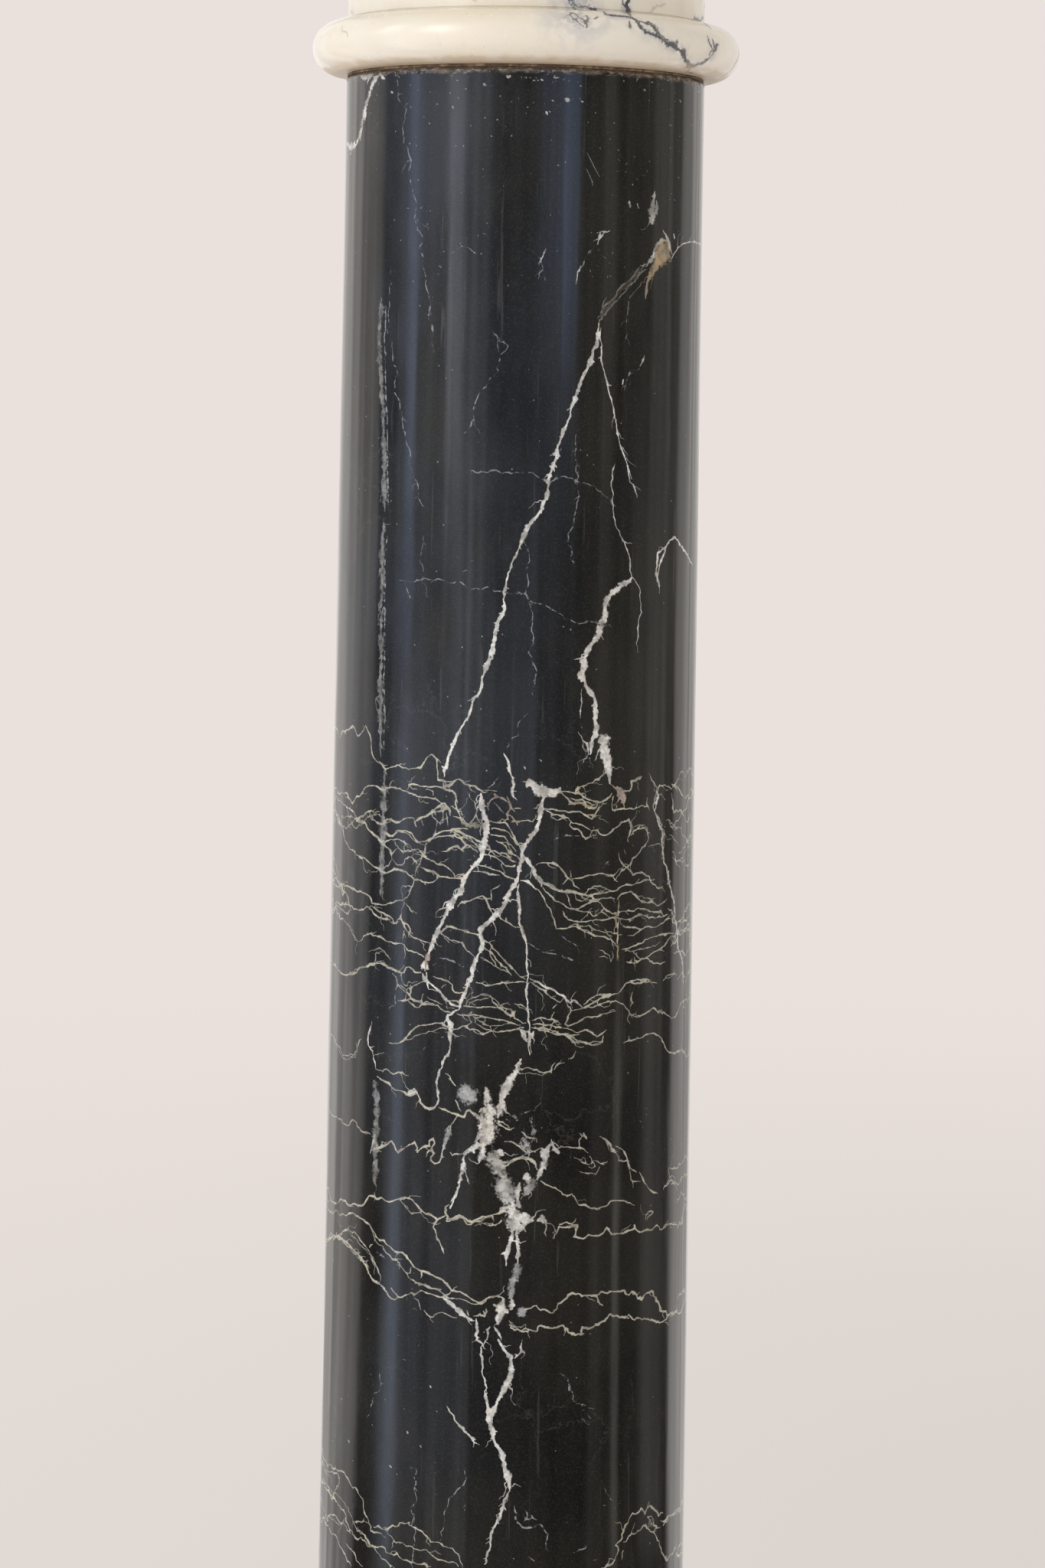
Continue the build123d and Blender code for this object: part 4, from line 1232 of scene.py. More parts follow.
class VeinedSkin:
    """A turned stone as one closed skin, whose triangles follow its veins.

    It is made in mesh code, because no operator lays edges along a net of veins.
    """

    FINE_GAP = 0.0009
    STOUT_HALF = 0.0004
    BORDER_SHARE = 1.6
    BORDER_GAP = 0.00022
    WEAR_SHARE = 0.7
    SAME_PLACE = 1e-7
    ON_SEAM = 1e-6
    SEAM_FIT = 1e-5
    LEAST_AREA = 1e-16

    def __init__(self, name: str, net: VeinNet, columns: int, inner: tuple[Pair, ...]) -> None:
        """Takes what the skin is made from.

        Args:
            name: The piece's name.
            net: The veins, on their outline.
            columns: How many columns of vertices go round the stone.
            inner: Radius and height of the hidden rings, from the outline's top back to its foot.
        """
        self.name = name
        self.net = net
        self.profile = net.profile
        self.columns = columns
        self.inner = inner
        self.points: list[Pair] = []
        self.edges: list[tuple[int, int]] = []

    def lay_line(self, line: list[Pair]) -> None:
        """Adds points and the edges that join them in order."""
        first = len(self.points)
        self.points.extend(line)
        self.edges.extend((first + k, first + k + 1) for k in range(len(line) - 1))

    def lay_rows(self) -> None:
        """Lays the rows at the outline's corners and the two sides at the seam."""
        edge = self.net.edge
        rims = [1] + [run.rim for run in self.profile.runs]
        for along, rim in zip(self.profile.starts, rims):
            across = np.linspace(-edge, edge, self.columns * rim + 1)
            self.lay_line([(float(u), along) for u in across])
        sides = sorted(self.net.seam_rows() + self.net.seam)
        for side in (-edge, edge):
            self.lay_line([(side, along) for along in sides])

    def followed(self, strand: Strand) -> tuple[np.ndarray, np.ndarray]:
        """Returns the stations that the mesh follows, every other one on a thin vein, and half widths."""
        last = len(strand.stations) - 1
        step = 1 if strand.half.mean() > self.STOUT_HALF else 2
        picks = np.unique(np.append(np.arange(0, last, step), last))
        return strand.stations[picks], strand.half[picks]

    def lay_veins(self) -> None:
        """Lays each vein's middle line, with a row of points beyond each border."""
        low, high = self.net.MARGIN, self.profile.length - self.net.MARGIN
        side = self.net.edge - self.net.MARGIN
        for strand in self.net.strands:
            stations, half = self.followed(strand)
            self.lay_line([(float(u), float(s)) for u, s in stations])
            along = np.gradient(stations, axis=0)
            along /= np.linalg.norm(along, axis=1, keepdims=True) + 1e-12
            across = np.stack([-along[:, 1], along[:, 0]], axis=1)
            gap = (self.BORDER_SHARE * half + self.BORDER_GAP)[:, None]
            beside = [stations + across * gap, stations - across * gap]
            beside.append(stations[:1] - along[:1] * gap[:1])
            beside.append(stations[-1:] + along[-1:] * gap[-1:])
            for u, s in np.vstack(beside):
                if abs(u) < side and low < s < high:
                    self.points.append((float(u), float(s)))

    def lay_ground(self) -> None:
        """Fills the sheet between the veins with rows of evenly spaced points."""
        tree = KDTree(len(self.points))
        for index, (u, s) in enumerate(self.points):
            tree.insert((u, s, 0.0), index)
        tree.balance()
        pitch = 2 * self.net.edge / self.columns
        starts, ends = self.profile.starts, self.profile.starts[1:]
        for start, end, run in zip(starts, ends, self.profile.runs):
            rows = np.linspace(start, end, run.rows + 1)[1:-1]
            for number, along in enumerate(rows):
                shift = 0.5 if number % 2 else 0.0
                for column in range(1, self.columns):
                    u = -self.net.edge + (column + shift) * pitch
                    if u > self.net.edge - pitch / 3:
                        continue
                    if tree.find((u, along, 0.0))[2] > self.FINE_GAP:
                        self.points.append((u, float(along)))

    def sheet(self) -> tuple[np.ndarray, np.ndarray]:
        """Triangulates the unrolled skin and welds its two sides.

        Returns:
            The flat points, and the triangles, which name points by number.
        """
        self.lay_rows()
        self.lay_veins()
        self.lay_ground()
        points = [Vector(point) for point in self.points]
        found = delaunay_2d_cdt(points, self.edges, [], 0, self.SAME_PLACE, False)
        flat = np.array([tuple(point) for point in found[0]])
        triangles = np.array([face for face in found[2] if len(face) == 3])
        corners = flat[triangles]
        first, second = corners[:, 1] - corners[:, 0], corners[:, 2] - corners[:, 0]
        area = first[:, 0] * second[:, 1] - first[:, 1] * second[:, 0]
        solid = np.abs(area) > self.LEAST_AREA
        triangles, area = triangles[solid], area[solid]
        triangles[area < 0] = triangles[area < 0][:, ::-1]
        left = np.nonzero(flat[:, 0] < -self.net.edge + self.ON_SEAM)[0]
        right = np.nonzero(flat[:, 0] > self.net.edge - self.ON_SEAM)[0]
        left = left[np.argsort(flat[left, 1])]
        right = right[np.argsort(flat[right, 1])]
        if len(left) != len(right) or np.abs(flat[left, 1] - flat[right, 1]).max() > self.SEAM_FIT:
            raise ValueError(f"{self.name}: the two sides of its seam differ")
        welded = np.arange(len(flat))
        welded[right] = left
        return flat, welded[triangles]

    def wear(self, flat: np.ndarray) -> np.ndarray:
        """Returns how far wear and chips set the skin back at each point: here, nowhere."""
        return np.zeros(len(flat))

    def close(self, flat: np.ndarray, first: int) -> Faces:
        """Closes the stone from its outline's top, down its bore, to its outline's foot.

        Args:
            flat: The unrolled points.
            first: The number of the first new vertex.

        Returns:
            The new vertices and faces.
        """
        made = Faces()
        turns = np.linspace(-math.pi, math.pi, self.columns + 1)[:-1]
        rings = [self.ring(flat, self.profile.length)]
        for radius, height in self.inner:
            start = first + len(made.places)
            made.places.extend((radius * math.sin(t), -radius * math.cos(t), height) for t in turns)
            rings.append(list(range(start, start + self.columns)))
        rings.append(self.ring(flat, 0.0))
        for number, (outer, inner) in enumerate(zip(rings, rings[1:])):
            if number == 0 and self.drilled():
                self.drill(made, outer, inner, first)
                continue
            for k in range(self.columns):
                after = (k + 1) % self.columns
                made.polygons.append((outer[k], outer[after], inner[after], inner[k]))
        return made

    def drilled(self) -> bool:
        """Returns whether the stone's top face has holes of its own."""
        return False

    def drill(self, made: Faces, outer: list[int], inner: list[int], first: int) -> None:
        """Makes the top face with its holes. A stone with none has nothing to do here."""

    def ring(self, flat: np.ndarray, along: float) -> list[int]:
        """Returns the numbers of the sheet's vertices on its top or foot row, in order."""
        on_row = np.abs(flat[:, 1] - along) < self.SAME_PLACE
        inside = flat[:, 0] < self.net.edge - self.ON_SEAM
        row = np.nonzero(on_row & inside)[0]
        row = row[np.argsort(flat[row, 0])]
        if len(row) != self.columns:
            raise ValueError(f"{self.name}: {len(row)} vertices on an end row")
        return row.tolist()

    def build(self, material: bpy.types.Material) -> bpy.types.Object:
        """Makes the piece.

        Args:
            material: Its finish.

        Returns:
            The piece, in place.
        """
        flat, triangles = self.sheet()
        turn = flat[:, 0] / self.net.reference
        radius, height = self.profile.place(flat[:, 1])
        middle = flat[triangles][:, :, 1].mean(1)
        run = np.searchsorted(self.profile.starts, middle) - 1
        run = np.clip(run, 0, len(self.profile.runs) - 1)
        worn = self.wear(flat)
        loops = triangles.ravel()
        outward, upward = self.profile.normal(flat[loops, 1], np.repeat(run, 3))
        radius = radius - worn * self.WEAR_SHARE
        height = height - worn * self.WEAR_SHARE * np.sign(flat[:, 1] - self.profile.length / 2)
        places = np.stack([radius * np.sin(turn), -radius * np.cos(turn), height], axis=1)
        closing = self.close(flat, len(flat))
        everything = [tuple(place) for place in places.tolist()] + closing.places
        polygons = [tuple(face) for face in triangles.tolist()] + closing.polygons
        mesh = bpy.data.meshes.new(self.name)
        mesh.from_pydata(everything, [], polygons)
        measures = np.zeros((len(everything), 3), np.float32)
        measures[:, 0] = FAR_MEASURE
        measures[: len(flat)] = self.net.measure(flat)
        attribute = mesh.attributes.new(VEIN_ATTRIBUTE, "FLOAT_VECTOR", "POINT")
        attribute.data.foreach_set("vector", measures.ravel())
        mesh.polygons.foreach_set("use_smooth", [True] * len(polygons))
        smooth = np.stack([outward * np.sin(turn[loops]), -outward * np.cos(turn[loops]), upward], axis=1)
        normals = np.zeros((len(mesh.loops), 3))
        normals[: len(smooth)] = smooth
        self.soften_wear(mesh, normals, loops, worn)
        offset = len(smooth)
        for polygon in list(mesh.polygons)[len(triangles) :]:
            normals[offset : offset + len(polygon.vertices)] = polygon.normal
            offset += len(polygon.vertices)
        mesh.normals_split_custom_set(normals.tolist())
        mesh.materials.append(material)
        piece = bpy.data.objects.new(self.name, mesh)
        bpy.context.scene.collection.objects.link(piece)
        self.tidy_loose(piece)
        LOG.info("%s: %d veins, %d faces", self.name, len(self.net.strands), len(mesh.polygons))
        return piece

    def soften_wear(
        self, mesh: bpy.types.Mesh, normals: np.ndarray, loops: np.ndarray, worn: np.ndarray
    ) -> None:
        """Gives worn places the directions of their own faces.

        Args:
            mesh: The skin.
            normals: The directions, changed in place.
            loops: The vertex of each corner of the outside.
            worn: How far each vertex is set back.
        """
        if not worn.any():
            return
        own = np.empty(len(mesh.vertices) * 3, np.float32)
        mesh.vertex_normals.foreach_get("vector", own)
        own = own.reshape(-1, 3)
        touched = worn[loops] > 1e-6
        normals[: len(loops)][touched] = own[loops[touched]]

    @staticmethod
    def tidy_loose(piece: bpy.types.Object) -> None:
        """Deletes vertices that no face uses."""
        bpy.ops.object.select_all(action="DESELECT")
        piece.select_set(True)
        bpy.context.view_layer.objects.active = piece
        bpy.ops.object.mode_set(mode="EDIT")
        bpy.ops.mesh.select_all(action="SELECT")
        bpy.ops.mesh.delete_loose(use_verts=True, use_edges=True, use_faces=False)
        bpy.ops.mesh.select_all(action="DESELECT")
        bpy.ops.object.mode_set(mode="OBJECT")


class WornSkin(VeinedSkin):
    """A veined skin whose upper rim is chipped."""

    CHIPS = 70
    CHIP_HALF: Pair = (0.0004, 0.0021)
    CHIP_DEPTH = 0.42
    CHIP_HEIGHT: Pair = (0.5, 1.1)

    def wear(self, flat: np.ndarray) -> np.ndarray:
        """Returns how far chips along the top rim set the skin back at each point."""
        rim = self.profile.starts[-2]
        worn = np.zeros(len(flat))
        for _ in range(self.CHIPS):
            middle = self.net.draw.uniform(-self.net.edge, self.net.edge)
            half = self.net.draw.uniform(*self.CHIP_HALF)
            tall = half * self.net.draw.uniform(*self.CHIP_HEIGHT)
            away = ((flat[:, 0] - middle) / half) ** 2 + ((flat[:, 1] - rim) / tall) ** 2
            worn = np.maximum(worn, half * self.CHIP_DEPTH * np.maximum(0.0, 1.0 - away))
        return worn


class DrilledSkin(VeinedSkin):
    """A veined skin whose top face has two blind holes for dowels."""

    HOLE_RADIUS = 0.0043
    HOLE_CIRCLE = 0.058
    HOLE_DEPTH = 0.016
    HOLE_SIDES = 24
    RECESS_SHARE = 0.995

    def drilled(self) -> bool:
        """Returns that the top face has holes."""
        return True

    def drill(self, made: Faces, outer: list[int], inner: list[int], first: int) -> None:
        """Makes the top face and its two holes.

        Args:
            made: The closing faces, added to in place.
            outer: The numbers of the top face's outer ring.
            inner: The numbers of its inner ring.
            first: The number of the first new vertex.
        """
        turns = np.linspace(-math.pi, math.pi, self.columns + 1)[:-1]
        rim, height = self.profile.outline[-1]
        recess = self.inner[0][0]
        spots = [(r * math.sin(t), -r * math.cos(t)) for r in (rim, recess) for t in turns]
        numbers = outer + inner
        loops = [range(self.columns), range(self.columns, 2 * self.columns)]
        centres = [(-self.HOLE_CIRCLE, 0.0), (self.HOLE_CIRCLE, 0.0)]
        for x, y in centres:
            around = [2 * math.pi * k / self.HOLE_SIDES for k in range(self.HOLE_SIDES)]
            reach = self.HOLE_RADIUS
            circle = [(x + reach * math.cos(t), y + reach * math.sin(t)) for t in around]
            mouth = first + len(made.places)
            made.places.extend((px, py, float(height)) for px, py in circle)
            made.places.extend((px, py, float(height) - self.HOLE_DEPTH) for px, py in circle)
            floor = mouth + self.HOLE_SIDES
            for k in range(self.HOLE_SIDES):
                after = (k + 1) % self.HOLE_SIDES
                made.polygons.append((mouth + k, mouth + after, floor + after, floor + k))
            made.polygons.append(tuple(range(floor, floor + self.HOLE_SIDES)))
            loops.append(range(len(spots), len(spots) + self.HOLE_SIDES))
            spots.extend(circle)
            numbers.extend(range(mouth, mouth + self.HOLE_SIDES))
        edges = [(loop[k], loop[(k + 1) % len(loop)]) for loop in loops for k in range(len(loop))]
        places = [Vector(spot) for spot in spots]
        found = delaunay_2d_cdt(places, edges, [], 0, self.SAME_PLACE, True)
        for face in found[2]:
            middle = sum((found[0][k] for k in face), Vector((0.0, 0.0))) / len(face)
            in_hole = any((middle - Vector(c)).length < self.HOLE_RADIUS for c in centres)
            if in_hole or middle.length < recess * self.RECESS_SHARE:
                continue
            corners = [numbers[found[3][k][0]] for k in face]
            a, b, c = (found[0][k] for k in face[:3])
            if (b - a).cross(c - a) < 0:
                corners.reverse()
            made.polygons.append(tuple(corners))


@dataclass
class Shaft:
    """The black marble shaft, in metres."""

    foot: float = 0.1344
    top: float = 0.9144
    foot_radius: float = 0.0885
    top_radius: float = 0.0825
    arris: float = 0.0012
    bore: float = 0.009
    rim_band: float = 0.0024
    reference: float = 0.0855
    columns: int = 120
    station: float = 0.00105
    axis_pixel: float = 676.0
    vein_foot: float = 0.001
    photo_edge: float = 0.088

    def profile(self) -> TurnedProfile:
        """Returns the outline from the foot's arris to the top's."""
        slope = (self.top_radius - self.foot_radius) / (self.top - self.foot)
        low, high = self.foot + self.arris, self.top - self.arris
        band = high - self.rim_band
        foot = (self.foot_radius - self.arris, self.foot)
        lower = (self.foot_radius + slope * self.arris, low)
        below_rim = (self.top_radius - slope * (self.top - band), band)
        upper = (self.top_radius - slope * self.arris, high)
        top = (self.top_radius - self.arris, self.top)
        return TurnedProfile(
            [
                straight(foot, lower, 1, rim=2),
                straight(lower, below_rim, 104, rim=2),
                straight(below_rim, upper, 3, rim=5),
                straight(upper, top, 1),
            ]
        )

    def net(self, camera: PhotoCamera) -> VeinNet:
        """Draws the shaft's veins.

        Args:
            camera: The photograph's camera.

        Returns:
            The net: what the photograph shows, and what is invented behind and below it.
        """
        net = VeinNet(self.profile(), self.reference, self.station, seed=41)
        tree = BVHTree.FromObject(frame["nodes"]["shaft"], bpy.context.evaluated_depsgraph_get())
        for family in SHAFT_VEINS:
            net.trace(family, camera, tree, self.axis_pixel)
        net.spurs(0.00045, 0.0080, (0.0003, 0.0014))
        net.braid(Tone.CREAM, 0.25, (0.0007, 0.0026), 0.6)
        net.braid(Tone.CREAM, 0.08, (0.0022, 0.0062), 0.6)
        net.hairs(0.022, (0.0015, 0.006), 0.6)
        net.round_back(0.0042)
        self.invent(net)
        net.hairs(0.060, (0.003, 0.012), 0.6)
        rim = net.profile.starts[-2]
        net.scatter((rim - 0.0014, rim + 0.0012), 60, (0.0005, 0.0030), Tone.CREAM, (0.25, 0.6), 0.008)
        net.scatter((rim - 0.0050, rim - 0.0008), 34, (0.0003, 0.0016), Tone.WHITE, (0.2, 0.6))
        net.scatter((rim - 0.0900, rim - 0.0040), 46, (0.0003, 0.0014), Tone.WHITE, (0.2, 0.6), 0.012)
        net.scatter((0.0040, rim - 0.0500), 70, (0.0003, 0.0024), Tone.WHITE, (0.12, 0.45), 0.014)
        return net

    def invent(self, net: VeinNet) -> None:
        """Draws the stout veins of the sides that the photograph doesn't show.

        Args:
            net: The shaft's veins, added to in place. Heights are shares of its outline's length.
        """
        length, foot = net.profile.length, self.vein_foot
        below = length * self.photo_edge
        net.bolt((0.150, length * 0.98), (0.205, length * 0.60), 0.0007, Tone.WHITE, 0.010)
        net.bolt((0.205, length * 0.60), (0.172, length * 0.36), 0.0011, Tone.WHITE, 0.008)
        net.bolt((0.172, length * 0.36), (0.190, foot), 0.0006, Tone.CREAM, 0.009)
        net.bolt((0.262, length * 0.86), (0.248, length * 0.44), 0.0005, Tone.WHITE, 0.010)
        net.bolt((-0.175, length * 0.93), (-0.215, length * 0.52), 0.0008, Tone.WHITE, 0.011)
        net.bolt((-0.215, length * 0.52), (-0.190, length * 0.20), 0.0010, Tone.WHITE, 0.010)
        net.bolt((-0.190, length * 0.20), (-0.160, foot), 0.0006, Tone.CREAM, 0.008)
        net.bolt((-0.016, below), (-0.010, foot), 0.0008, Tone.WHITE, 0.006)
        net.bolt((-0.050, below), (-0.022, foot), 0.0004, Tone.CREAM, 0.006)
        net.bolt((-0.084, below), (-0.052, foot), 0.0005, Tone.CREAM, 0.006)
        net.bolt((0.040, below), (0.030, foot), 0.0004, Tone.CREAM, 0.006)
        net.bolt((0.066, below), (0.082, foot), 0.0005, Tone.CREAM, 0.006)

    def build(self, camera: PhotoCamera, finish: bpy.types.Material) -> None:
        """Makes the shaft and puts it in place of its CAD node."""
        inner = ((self.bore, self.top), (self.bore, self.foot))
        piece = WornSkin("veined_shaft", self.net(camera), self.columns, inner).build(finish)
        settle(piece, "black_marble", "shaft")


@dataclass
class Capital:
    """The cream marble capital with its bead, quirk, neck, annulets and echinus, in metres."""

    foot: float = 0.9156
    bead_height: float = 0.0234
    bead_middle: float = 0.0866
    quirk_height: float = 0.0016
    quirk_radius: float = 0.0815
    neck_radius: float = 0.082
    neck_height: float = 0.030
    annulet_height: float = 0.004
    annulet_step: float = 0.0032
    echinus_height: float = 0.020
    echinus_projection: float = 0.017
    lip: float = 0.004
    bore: float = 0.009
    recess_radius: float = 0.0275
    recess_depth: float = 0.022
    reference: float = 0.085
    columns: int = 180
    station: float = 0.0010
    axis_pixel: float = 690.0
    vein_margin: float = 0.002

    def profile(self) -> TurnedProfile:
        """Returns the outline from the bead's foot to the top lip."""
        half = self.bead_height / 2
        bead_top = self.foot + self.bead_height
        quirk_top = bead_top + self.quirk_height
        neck_top = quirk_top + self.neck_height
        lower = self.neck_radius + self.annulet_step
        upper = lower + self.annulet_step
        lower_top = neck_top + self.annulet_height
        upper_top = lower_top + self.annulet_height
        echinus_top = upper_top + self.echinus_height
        echinus_radius = upper + self.echinus_projection
        echinus_axes = (self.echinus_projection, self.echinus_height)
        return TurnedProfile(
            [
                arc((self.bead_middle, self.foot + half), (half, half), -90.0, 180.0, 34),
                straight((self.bead_middle, bead_top), (self.quirk_radius, bead_top), 3),
                straight((self.quirk_radius, bead_top), (self.quirk_radius, quirk_top), 1),
                straight((self.quirk_radius, quirk_top), (self.neck_radius, quirk_top), 1),
                straight((self.neck_radius, quirk_top), (self.neck_radius, neck_top), 9),
                straight((self.neck_radius, neck_top), (lower, neck_top), 1),
                straight((lower, neck_top), (lower, lower_top), 1),
                straight((lower, lower_top), (upper, lower_top), 1),
                straight((upper, lower_top), (upper, upper_top), 1),
                arc((upper, echinus_top), echinus_axes, -90.0, 90.0, 20),
                straight((echinus_radius, echinus_top), (echinus_radius, echinus_top + self.lip), 1),
            ]
        )

    def build(self, camera: PhotoCamera, finish: bpy.types.Material) -> None:
        """Makes the capital and puts it in place of its CAD node."""
        profile = self.profile()
        net = VeinNet(profile, self.reference, self.station, seed=73)
        tree = BVHTree.FromObject(frame["nodes"]["capital"], bpy.context.evaluated_depsgraph_get())
        for family in COLLAR_VEINS:
            net.trace(family, camera, tree, self.axis_pixel)
        top_end = profile.length - self.vein_margin
        net.bolt((0.050, 0.040), (0.036, top_end), 0.0006, Tone.INK, 0.005)
        net.bolt((0.078, 0.054), (0.094, top_end), 0.0006, Tone.INK, 0.006)
        net.bolt((0.118, 0.004), (0.150, top_end), 0.0007, Tone.INK, 0.010)
        net.bolt((0.150, 0.048), (0.245, 0.006), 0.0005, Tone.INK, 0.008)
        net.bolt((-0.190, 0.004), (-0.150, top_end), 0.0006, Tone.INK, 0.010)
        net.bolt((-0.120, 0.060), (-0.178, 0.050), 0.0004, Tone.INK, 0.006)
        net.hairs(0.0024, (0.0008, 0.0026), 0.8)
        net.hairs(0.020, (0.0006, 0.0016), 0.8)
        top = float(profile.outline[-1][1])
        inner = (
            (self.recess_radius, top),
            (self.recess_radius, top - self.recess_depth),
            (self.bore, top - self.recess_depth),
            (self.bore, self.foot),
        )
        piece = DrilledSkin("veined_capital", net, self.columns, inner).build(finish)
        settle(piece, "cream_marble", "capital")


@dataclass
class Bedding:
    """Brown mastic squeezed out of the joint under the collar, in metres."""

    middle_height: float = 0.9150
    ring_radius: float = 0.0812
    thickness: float = 0.00059
    swell: float = 0.0012
    around: int = 360
    across: int = 10
    lumps: int = 60
    grain: float = 0.25

    def build(self, finish: bpy.types.Material) -> None:
        """Makes the uneven bead of mastic that lies against the collar's seam."""
        bpy.ops.object.select_all(action="DESELECT")
        bpy.ops.mesh.primitive_torus_add(
            major_segments=self.around,
            minor_segments=self.across,
            major_radius=self.ring_radius,
            minor_radius=self.thickness,
            location=(0.0, 0.0, self.middle_height),
        )
        piece = bpy.context.active_object
        piece.name = "collar_bedding"
        bpy.ops.object.transform_apply(location=True, rotation=True, scale=True)
        draw = np.random.default_rng(19)
        knots = draw.uniform(0.0, 1.0, self.lumps) ** 2
        grain = draw.uniform(0.0, self.grain, self.around)
        turns = np.arange(self.around) / self.around * len(knots)
        push = np.interp(turns, np.arange(len(knots) + 1), np.append(knots, knots[0])) + grain
        for vertex in piece.data.vertices:
            turn = math.atan2(vertex.co.y, vertex.co.x) % (2 * math.pi)
            station = int(round(turn / (2 * math.pi) * self.around)) % self.around
            reach = math.hypot(vertex.co.x, vertex.co.y)
            if reach > self.ring_radius:
                factor = 1.0 + push[station] * self.swell / reach
                vertex.co.x *= factor
                vertex.co.y *= factor
        dress(piece, finish)
        settle(piece, "mastic")


def settle(piece: bpy.types.Object, slot: str, *nodes: str) -> None:
    """Makes a finished piece ride on the column, and hides the nodes that it stands for."""
    if nodes:
        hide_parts(*nodes)
    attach(piece, BODY)


def dress(piece: bpy.types.Object, finish: bpy.types.Material) -> None:
    """Gives a new piece its finish and smooth faces."""
    piece.data.materials.clear()
    piece.data.materials.append(finish)
    piece.data.polygons.foreach_set("use_smooth", [True] * len(piece.data.polygons))


class Sheet:
    """Lays and joins nodes on one node tree."""

    def __init__(self, tree: bpy.types.NodeTree) -> None:
        """Takes the tree, emptied of what it starts with."""
        self.tree = tree
        self.tree.nodes.clear()

    def add(self, kind: str, feeds: dict | None = None, **settings: object) -> bpy.types.Node:
        """Adds a node.

        Args:
            kind: The node's type, without the words that all shader nodes start with.
            feeds: What goes into its sockets: a value, or another node's socket.
            settings: Its own settings.

        Returns:
            The node.
        """
        node = self.tree.nodes.new(kind if kind.startswith("Node") else f"ShaderNode{kind}")
        for name, value in settings.items():
            setattr(node, name, value)
        for key, value in (feeds or {}).items():
            self.feed(node.inputs[key], value)
        return node

    def feed(self, socket: bpy.types.NodeSocket, value: object) -> None:
        """Joins a socket to another, or sets its value."""
        if isinstance(value, bpy.types.NodeSocket):
            self.tree.links.new(value, socket)
        else:
            socket.default_value = value

    def math(self, operation: str, *values: object, clamp: bool = False) -> bpy.types.NodeSocket:
        """Returns the result of a math node on the values."""
        feeds = dict(enumerate(values))
        return self.add("Math", feeds, operation=operation, use_clamp=clamp).outputs[0]

    def between(self, value: object, low: float, high: float) -> bpy.types.NodeSocket:
        """Returns 0 below low, 1 above high, and a smooth step between them."""
        feeds = {"Value": value, "From Min": low, "From Max": high}
        return self.add("MapRange", feeds, interpolation_type="SMOOTHSTEP").outputs["Result"]

    def mix(self, factor: object, first: object, second: object, mode: str = "MIX") -> bpy.types.NodeSocket:
        """Returns a colour mixed from two."""
        feeds = {0: factor, 6: shade(first), 7: shade(second)}
        return self.add("Mix", feeds, data_type="RGBA", blend_type=mode).outputs[2]

    def object_place(self, scale: tuple[float, float, float] = (1.0, 1.0, 1.0)) -> bpy.types.NodeSocket:
        """Returns the place on the piece, stretched by scale."""
        place = self.add("TexCoord").outputs["Object"]
        return self.add("Mapping", {"Vector": place, "Scale": scale}).outputs["Vector"]

    def noise(
        self, place: object, scale: float, detail: float = 4.0, rough: float = 0.55
    ) -> bpy.types.NodeSocket:
        """Returns a noise from 0 to 1."""
        feeds = {"Vector": place, "Scale": scale, "Detail": detail, "Roughness": rough}
        return self.add("TexNoise", feeds).outputs["Fac"]

    def patches(
        self, place: object, scale: float, detail: float, low: float, high: float, rough: float = 0.55
    ) -> bpy.types.NodeSocket:
        """Returns a mask of the patches where a noise rises from low to high."""
        return self.between(self.noise(place, scale, detail, rough), low, high)

    def tint(self, colour: object, mask: object, share: float, towards: object) -> bpy.types.NodeSocket:
        """Returns a colour mixed towards another by a share of a mask."""
        return self.mix(self.math("MULTIPLY", mask, share), colour, towards)

    def ramp(self, factor: object, stops: tuple[tuple[Tone, Colour], ...]) -> bpy.types.NodeSocket:
        """Returns a colour read from a ramp of tones."""
        node = self.add("ValToRGB", {"Fac": factor})
        elements = node.color_ramp.elements
        while len(elements) < len(stops):
            elements.new(0.5)
        for element, (tone, colour) in zip(elements, stops):
            element.position = tone.value
            element.color = (*colour, 1.0)
        return node.outputs["Color"]


def shade(value: object) -> object:
    """Returns a colour with its alpha, or a socket as it is."""
    if isinstance(value, tuple) and len(value) == 3:
        return (*value, 1.0)
    return value


